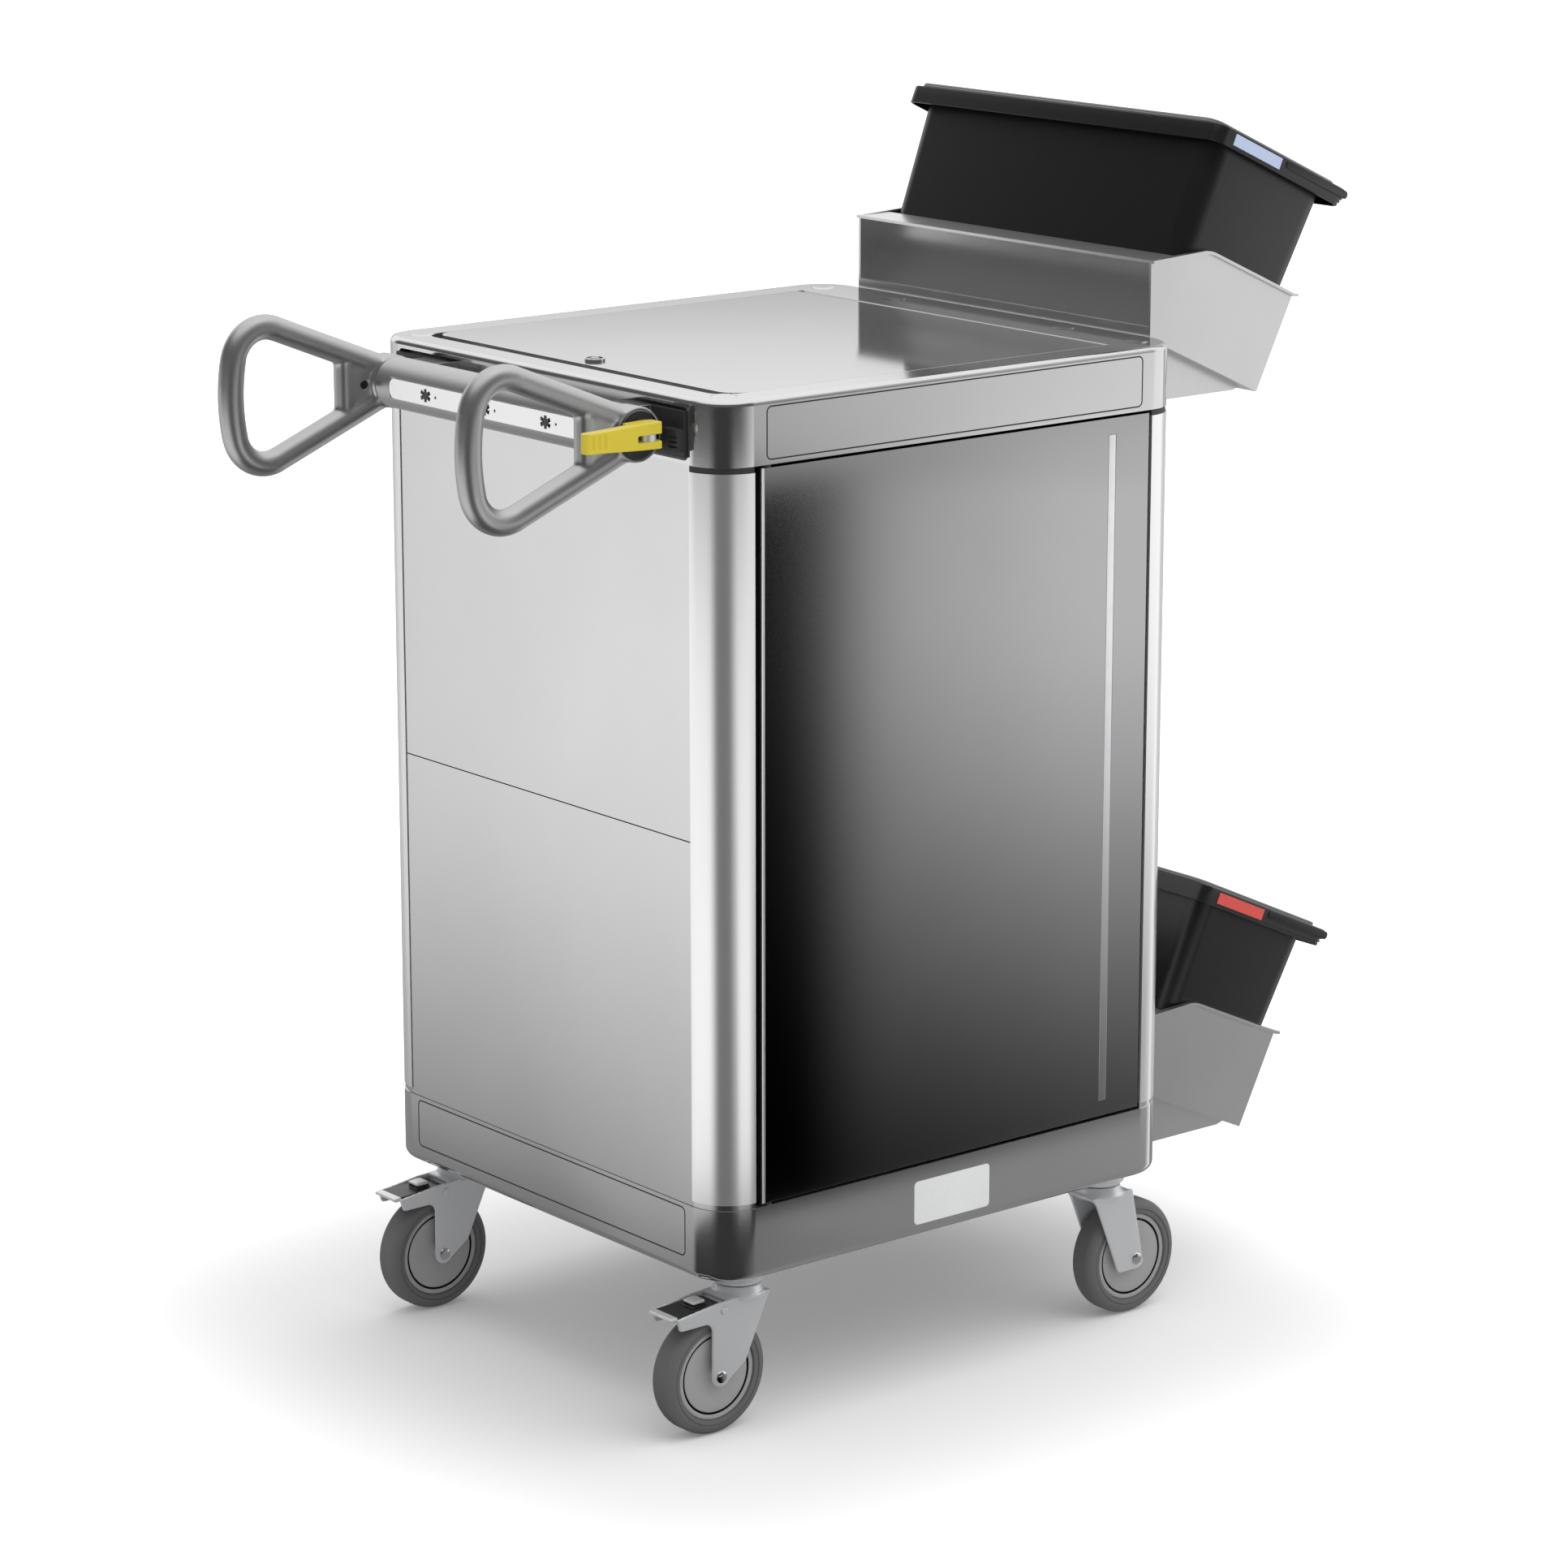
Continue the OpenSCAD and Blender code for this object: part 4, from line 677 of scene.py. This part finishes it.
class CART_OT_bins(bpy.types.Operator):
    """Bins with turned-over rims, pads and thin lids"""
    bl_idname = "cart.bins"
    bl_label = "Bins"

    def execute(self, context):
        tray_gap, tray_half, tray_drop, foot_rise = 0.004, 0.082, 0.005, 0.0035
        size = context.scene.cart_sizes
        along = np.array([math.cos(size.tilt), 0.0, -math.sin(size.tilt)])
        up = np.array([math.sin(size.tilt), 0.0, math.cos(size.tilt)])
        end_x, _, deck_top = span("deck_frame")[1]
        base_top = span("base_tray")[1][2] - COLLAR
        for level, carrier_top in (("upper", deck_top), ("lower", base_top)):
            bend = np.array([end_x + tray_gap, 0.0, carrier_top - tray_drop])
            foot = bend + tray_half * along + foot_rise * up
            self.shell(size, level, foot, along, up)
            self.cover(size, level, foot + (size.bin_height + size.rim_height) * up, along, up)
        return {"FINISHED"}

    def shell(self, size, level, foot, along, up):
        """Bin with a raised pad on each side of its rim."""
        rim_in, rim_out = 0.013, 0.021
        pad_start, pad_stop, pad_low, pad_top, pad_corner = 0.006, 0.003, 0.0092, 0.0012, 0.004
        pad_thick, pad_edge, pad_sunk = 0.0012, 0.0005, 0.0004
        lean = math.tan(size.bin_draft)
        h, top = size.bin_height, size.bin_height + size.rim_height
        half = size.foot_half + h * lean
        rim_u = (-half - rim_in, half + rim_out)
        pad = soft_rect(pad_start, rim_u[1] - pad_stop, h + pad_low, top - pad_top, pad_corner)
        v, f = slab(pad, 0.0, pad_thick, pad_edge)
        seat = size.rim_half - pad_sunk
        pads = [(placed(v, (0, side * seat, 0), X, Z, side * Y), f) for side in (-1.0, 1.0)]
        v, f = joined(bin_shell(size, lean, rim_u), *pads)
        link(f"bin_shell_{level}", mesh_of("bin", (placed(v, foot, along, Y, up), f)), "black",
             f"bin_{level}", (f"bin_{level}",))

    def cover(self, size, level, top, along, up):
        """Thin lid on a bin: a plate with a stepped edge, and a rib under it that sits inside the mouth. Both
        are stacks of one round-cornered outline, moved in by d at the level z."""
        reach, corner, seat, overlap = 0.012, 0.014, 0.0002, 0.0004
        hu = size.foot_half + size.bin_height * math.tan(size.bin_draft) + reach
        hv = size.cover_half

        def stack(profile):
            return [at_level(soft_rect(d - hu, hu - d, d - hv, hv - d, corner), z) for d, z in profile]

        edge = ((0.0006, 0.0), (0.0, 0.0005), (0.0, 0.0016), (0.0009, 0.0018), (0.0009, 0.0022),
                (0.0002, 0.0024), (0.0002, 0.0034), (0.0008, 0.004))
        rib = ((0.0145, 0.0), (0.0145, -0.005), (0.0165, -0.005), (0.0165, 0.0))
        v, f = skin(stack(edge))
        plate = (placed(v, top + seat * up, along, Y, up), f)
        v, f = skin(stack(rib), ring=True)
        shell = joined(plate, (placed(v, top + overlap * up, along, Y, up), f))
        link(f"bin_cover_{level}", mesh_of("bin cover", shell), "bin_lid", f"bin_lid_{level}",
             (f"bin_lid_{level}",))


# Body

class CART_OT_body(bpy.types.Operator):
    """Mouldings, lid, door and sheet parts with rounded edges, and painted shade in the gaps round the inlays
    """
    bl_idname = "cart.body"
    bl_label = "Body"

    def execute(self, context):
        for node, name, slot, body, width in (
                ("base_tray", "base_moulding", "moulding", "cart", 0.0008),
                ("deck_frame", "deck_moulding", "moulding", "cart", 0.0012),
                ("lid", "lid_flap", "lid", "lid", 0.0016),
                ("door", "door_leaf", "door", "door", 0.0012),
                ("door_pull_strip", "door_strip", "aluminium", "door", 0.0004),
                ("crossbar_strip", "socket_strip", "aluminium", "cart", 0.0005),
                ("badge_plate", "bare_plate", "white", "cart", 0.0003),
                ("upper_tray", "tray_sheet_upper", "sheet", "cart", 0.0008),
                ("lower_tray", "tray_sheet_lower", "sheet", "cart", 0.0008)):
            obj = eased(node, name, slot, body, width)
            if node == "door_pull_strip":
                coat(obj, "chrome")
            if node == "deck_frame":
                self.collars(obj)
        self.brackets()
        self.knob()
        self.door_edge()
        self.gaps()
        return {"FINISHED"}

    def collars(self, deck):
        """Painted shade between the posts and the deck: the deck's set-back collars over the posts in grey.
        """
        margin, steep = 0.0002, 0.7
        low = face_rows(deck, "center")[:, 2] < span("deck_frame")[0][2] + COLLAR - margin
        upright = abs(face_rows(deck, "normal")[:, 2]) < steep
        second_finish(deck, "bracket", low & upright)

    def brackets(self):
        """Brackets of the cross bar: dark grey, with the blocks behind the bar in the deck's finish."""
        obj = eased("crossbar_brackets", "bar_brackets", "black", "cart", width=0.0007)
        coat(obj, "bracket")
        inner = abs(face_rows(obj, "center")[:, 1]) < -span("handle_loop_near")[1][1]
        second_finish(obj, "moulding", inner)

    def knob(self):
        """Turn knob: heights over the deck shrink by one factor to a low cap, and the floor of the cap's ring
        recess is painted black as painted shade."""
        squash, ring_in, ring_out, rim = 0.62, 0.0047, 0.0079, 0.0003
        obj = eased("lid_knob", "turn_knob", "lid", "lid_knob", width=0.0004)
        deck = span("deck_frame")[1][2]
        at = point_rows(obj)
        at[:, 2] = np.where(at[:, 2] > deck, mix(deck, at[:, 2], squash), at[:, 2])
        move_points(obj, at)
        x, y, z = face_rows(obj, "center").T
        r = np.hypot(x - span("lid_knob")[2][0], y)
        second_finish(obj, "black", (r > ring_in) & (r < ring_out) & (z > deck) & (z < at[:, 2].max() - rim))

    def door_edge(self):
        """Profile on the door's hinge edge: a bright nose, and a flank in the gap beside the post painted
        black as painted shade.
        """
        obj = eased("door_edge_profile", "door_edge", "aluminium", "door", width=0.0001, crease=50.0)
        second_finish(obj, "black", face_rows(obj, "normal")[:, 0] < -0.8)

    def gaps(self):
        """Painted shade in the grooves round the inlays: flat black rings between the inlay's outline and the
        same outline grown by the groove's width, level with the face."""
        proud, deep, width, lap, corner, near = 0.0001, 0.0012, 0.0012, 0.0002, 0.005, 0.002
        at = point_rows(NODES["trim_inlays"])
        lo, hi = at.min(0), at.max(0)
        for name, normal, picked in (("gap_shade_base", -X, at[:, 0] < lo[0] + near),
                                     ("gap_shade_deck_door", -Y, at[:, 1] < lo[1] + near),
                                     ("gap_shade_deck_far", Y, at[:, 1] > hi[1] - near)):
            part = at[picked]
            along = np.cross(Z, normal)
            mid = 0.5 * (part.min(0) + part.max(0))
            half = 0.5 * (part.max(0) - part.min(0))
            hu, hv = abs(half @ along), half[2]
            face = (part @ normal).max() - mid @ normal
            rows = []
            for grow, rise in ((width, proud), (-lap, proud), (-lap, -deep), (width, -deep)):
                ring = soft_rect(-hu - grow, hu + grow, -hv - grow, hv + grow, corner + grow)
                rows.append(mid + (face + rise) * normal + ring[:, :1] * along + ring[:, 1:] * Z)
            link(name, mesh_of("gap", skin(rows, ring=True)), "black", "cart")


# Studio

def eye_place(s):
    """Place of the camera and its view direction: the target less the distance times the direction."""
    level = math.cos(s.elevation)
    view = Vector((level * math.cos(s.azimuth), level * math.sin(s.azimuth), -math.sin(s.elevation)))
    return Vector(s.target) - s.distance * view, view


def store(mesh, name, values):
    """Keeps one number per point of a mesh as an attribute."""
    kept = mesh.attributes.new(name, "FLOAT", "POINT")
    kept.data.foreach_set("value", values.ravel().astype(np.float32))


def bare_material(mesh, name):
    """Gives a mesh a new material with nothing but an output."""
    mat = bpy.data.materials.new(name)
    mat.use_nodes = True
    mat.node_tree.nodes.clear()
    mesh.materials.append(mat)
    nodes, links = mat.node_tree.nodes, mat.node_tree.links
    return nodes, links, nodes.new("ShaderNodeOutputMaterial")


def attribute(nodes, name):
    """Output of an attribute of the mesh."""
    node = nodes.new("ShaderNodeAttribute")
    node.attribute_name = name
    return node.outputs["Fac"]


def glow(nodes, links, strength):
    """Output of a white emission whose strength comes from a socket."""
    node = nodes.new("ShaderNodeEmission")
    links.new(strength, node.inputs["Strength"])
    return node.outputs[0]


def staged(scene, name, mesh):
    """Puts a mesh into the scene as part of the stage."""
    obj = bpy.data.objects.new(name, mesh)
    scene.collection.objects.link(obj)
    return obj


class CART_OT_studio(bpy.types.Operator):
    """Floor, lights and camera"""
    bl_idname = "cart.studio"
    bl_label = "Studio"

    def execute(self, context):
        scene, s = context.scene, context.scene.cart_studio
        scene.view_settings.view_transform = "Standard"
        self.floor(scene, s)
        self.dome(scene, s)
        self.surroundings(scene, s)
        self.camera(scene, s)
        return {"FINISHED"}

    def camera(self, scene, s):
        """Camera at the photograph's view, on a square sensor."""
        cam = bpy.data.cameras.new("camera")
        cam.sensor_width = cam.sensor_height = 36.0
        cam.sensor_fit = "HORIZONTAL"
        cam.lens = s.focal
        cam.clip_end = 200.0
        holder = bpy.data.objects.new("camera", cam)
        holder.location, view = eye_place(s)
        holder.rotation_euler = view.to_track_quat("-Z", "Y").to_euler()
        scene.collection.objects.link(holder)
        scene.camera = holder

    def floor(self, scene, s):
        """Pale floor: level rings round the near post, whose points are the distance times the cosine and
        sine of their heading. Seen directly it glows a little, more away from the cart, so that it runs out
        to white; mirrored rays see painted reflections instead."""
        white, gain, start, full = 0.9, 0.36, 0.08, 0.5
        reach = np.concatenate([np.linspace(0.0, 1.0, 101), np.linspace(1.05, 8.0, 140), [12.0, 20.0, 40.0]])
        turn = np.radians(np.arange(0.0, 360.0, 1.0))
        x = s.corner[0] + reach[:, None] * np.cos(turn)
        y = s.corner[1] + reach[:, None] * np.sin(turn)
        mesh = mesh_of("floor", skin(np.stack([x, y, np.zeros_like(x)], -1), caps=False))
        store(mesh, "mirrored", self.painted_reflections(s, x, y, np.degrees(turn)[None, :], reach[:, None]))
        # The glow grows from start to full metres out from the base's outline: painted light that fades the
        # cart's shadow out there, so the floor near the cart stays darker.
        lo, hi, _ = span("base_tray")
        aside = np.hypot(np.maximum(np.maximum(lo[0] - x, x - hi[0]), 0.0),
                         np.maximum(np.maximum(lo[1] - y, y - hi[1]), 0.0))
        store(mesh, "paler", s.lift + gain * step(aside, start, full))
        staged(scene, "floor", mesh)
        nodes, links, out = bare_material(mesh, "pale floor")
        paint = nodes.new("ShaderNodeBsdfDiffuse")
        paint.inputs["Color"].default_value = (white, white, white, 1)
        path = nodes.new("ShaderNodeLightPath")
        lift = nodes.new("ShaderNodeMath")
        lift.operation = "MULTIPLY"
        links.new(path.outputs["Is Camera Ray"], lift.inputs[0])
        links.new(attribute(nodes, "paler"), lift.inputs[1])
        both = nodes.new("ShaderNodeAddShader")
        links.new(paint.outputs[0], both.inputs[0])
        links.new(glow(nodes, links, lift.outputs[0]), both.inputs[1])
        pick = nodes.new("ShaderNodeMixShader")
        links.new(path.outputs["Is Glossy Ray"], pick.inputs[0])
        links.new(both.outputs[0], pick.inputs[1])
        links.new(glow(nodes, links, attribute(nodes, "mirrored")), pick.inputs[2])
        links.new(pick.outputs[0], out.inputs["Surface"])

    def painted_reflections(self, s, x, y, heading, away):
        """Glow of the floor in mirrored rays: painted reflections, dark and pale, laid round the cart so that
        each part mirrors a chosen tone. Their edges are headings from the near post, in degrees, and heights
        on the cart: at the height z an upright face mirrors the floor at the distance z gap / (eye - z)
        before it, where gap is the level distance from the eye to the face."""
        eye = np.array(eye_place(s)[0])
        end_x, side_y, _ = span("base_tray")[0]
        base, deck = span("corner_posts")[0][2], span("deck_frame")[0][2]
        hinge = span("door")[0][0]

        def band(distance, gap, z0, z1):
            return step(distance, z0 * gap / (eye[2] - z0), z1 * gap / (eye[2] - z1))

        def post(z0, z1):
            return band(away, np.hypot(*(eye[:2] - np.array(s.corner))), z0, z1)

        def side(z0, z1):
            return band(side_y - y, side_y - eye[1], z0, z1)

        def end(z0, z1):
            return band(end_x - x, end_x - eye[0], z0, z1)

        # Painted dark reflection on the camera's side, wider where the deck and the base mirror it
        over = post(deck - 0.035, deck)
        wide = np.maximum(over, 1 - post(base - 0.027, base + 0.014))
        opens = mix(186, 129, wide), mix(212, 150, wide)
        closes = mix(236, 262, wide), mix(264, 330, wide)
        dark = between(heading, opens, closes)

        # Painted reflection in the door: dark beside the hinge, paler towards the free edge, weaker before
        # the deck
        share = np.maximum(side_y - y, 0.0) / (side_y - eye[1])
        across = (x + eye[0] * share) / (1 + share) - hinge
        leaf = 0.01 + 0.64 * step(across, 0.035, 0.165) + 0.35 * np.clip((across - 0.14) / 0.28, 0.0, 1.0)
        leaf = mix(leaf, 0.62 + 0.3 * np.clip(across / 0.5, 0.0, 1.0), side(deck - 0.020, deck + 0.002))
        leaf = 1 - (1 - leaf) * step(across, -0.3, -0.15) * side(base - 0.020, base - 0.010)

        # Painted reflections of the floor before the handle end and the door side, darker close by, with a
        # painted pale strip for the post
        strip = post(base - 0.009, base + 0.047)
        before_end = (0.36 + 0.64 * post(0.075, 0.710)) * (0.70 + 0.30 * step(heading, 119, 126))
        before_end = before_end * (0.72 + 0.28 * end(0.173, base - 0.008))
        before_end = mix(before_end, 1.0, step(heading, 130, 142) * strip)
        before_side = 0.022 + 0.955 * post(0.175, 0.860) + 0.21 * (1 - side(base - 0.020, base - 0.010))
        pale = between(heading, (252, 264), (290, 300)) * strip * (1 - over)
        before_side = mix(before_side, 0.9, pale)
        round_corner = between(heading, (200, 290), (345, 360))
        return (1 - 0.99 * dark) * leaf * mix(before_end, before_side, round_corner)

    def dome(self, scene, s):
        """Dome that only mirrored rays see, so its glow lights nothing and is painted reflection: a point is
        the radius times the cosine of its height angle out along its heading, and the radius times the sine
        of that angle up. It is white behind the cart and overhead, dark round the camera's side and in a low
        band behind the cart, with edges in degrees."""
        turn = np.radians(np.arange(0.0, 360.0, 3.0))
        rise = np.radians(np.concatenate([np.linspace(0.0, 15.0, 61), np.linspace(18.0, 90.0, 25)]))[:, None]
        rows = s.dome * np.stack([np.cos(rise) * np.cos(turn), np.cos(rise) * np.sin(turn),
                                  np.sin(rise) * np.ones_like(turn)], -1)
        mesh = mesh_of("dome", skin(rows, caps=False))
        heading, height = np.degrees(turn), np.degrees(rise)
        # Painted dark reflections: the dark sector round the camera's side and the low dark band behind the
        # cart.
        dark = between(heading, (95, 118), (300, 335)) * (1 - step(height, 38, 62))
        low = between(heading, (20, 35), (65, 80)) * (1 - step(height, 9.7, 11.1))
        store(mesh, "mirrored", (1 - 0.92 * dark) * (1 - 0.6 * low))
        obj = staged(scene, "dome", mesh)
        obj.visible_camera = obj.visible_diffuse = obj.visible_shadow = obj.visible_transmission = False
        nodes, links, out = bare_material(mesh, "dome glow")
        links.new(glow(nodes, links, attribute(nodes, "mirrored")), out.inputs["Surface"])

    def surroundings(self, scene, s):
        """White surroundings, weaker for the light they shed, and one broad soft sun from above."""
        spread, falls = math.radians(80.0), Vector((-0.35, 0.2, -1.0))
        world = bpy.data.worlds.new("even white")
        scene.world = world
        world.use_nodes = True
        nodes, links = world.node_tree.nodes, world.node_tree.links
        back = nodes["Background"]
        path = nodes.new("ShaderNodeLightPath")
        seen = nodes.new("ShaderNodeMath")
        seen.operation = "MAXIMUM"
        links.new(path.outputs["Is Camera Ray"], seen.inputs[0])
        links.new(path.outputs["Is Glossy Ray"], seen.inputs[1])
        power = nodes.new("ShaderNodeMapRange")
        power.inputs["To Min"].default_value = s.fill
        power.inputs["To Max"].default_value = 1.0
        links.new(seen.outputs[0], power.inputs["Value"])
        links.new(power.outputs["Result"], back.inputs["Strength"])
        back.inputs["Color"].default_value = (1, 1, 1, 1)
        lamp = bpy.data.lights.new("overhead", "SUN")
        lamp.energy = s.key
        lamp.angle = spread
        obj = bpy.data.objects.new("overhead", lamp)
        obj.location = (0, 0, 5)
        obj.rotation_euler = falls.to_track_quat("-Z", "Y").to_euler()
        scene.collection.objects.link(obj)


# Add-on

STEPS = (CART_OT_finishes, CART_OT_wheels, CART_OT_forks, CART_OT_handles, CART_OT_bins, CART_OT_body,
         CART_OT_studio)


class CART_PT_panel(bpy.types.Panel):
    """Sidebar list of the steps"""
    bl_idname = "CART_PT_panel"
    bl_label = "Janitor cart"
    bl_space_type = "VIEW_3D"
    bl_region_type = "UI"
    bl_category = "Cart"

    def draw(self, context):
        for operator in STEPS:
            self.layout.operator(operator.bl_idname)


CLASSES = (CartColours, CartSizes, StudioSettings, *STEPS, CART_PT_panel)


def register():
    for cls in CLASSES:
        bpy.utils.register_class(cls)
    bpy.types.Scene.cart_colours = PointerProperty(type=CartColours)
    bpy.types.Scene.cart_sizes = PointerProperty(type=CartSizes)
    bpy.types.Scene.cart_studio = PointerProperty(type=StudioSettings)


def unregister():
    del bpy.types.Scene.cart_studio
    del bpy.types.Scene.cart_sizes
    del bpy.types.Scene.cart_colours
    for cls in reversed(CLASSES):
        bpy.utils.unregister_class(cls)


def main():
    register()
    bpy.ops.cart.finishes()
    bpy.ops.cart.wheels()
    bpy.ops.cart.forks()
    bpy.ops.cart.handles()
    bpy.ops.cart.bins()
    bpy.ops.cart.body()
    bpy.ops.cart.studio()


if __name__ == "__main__":
    main()
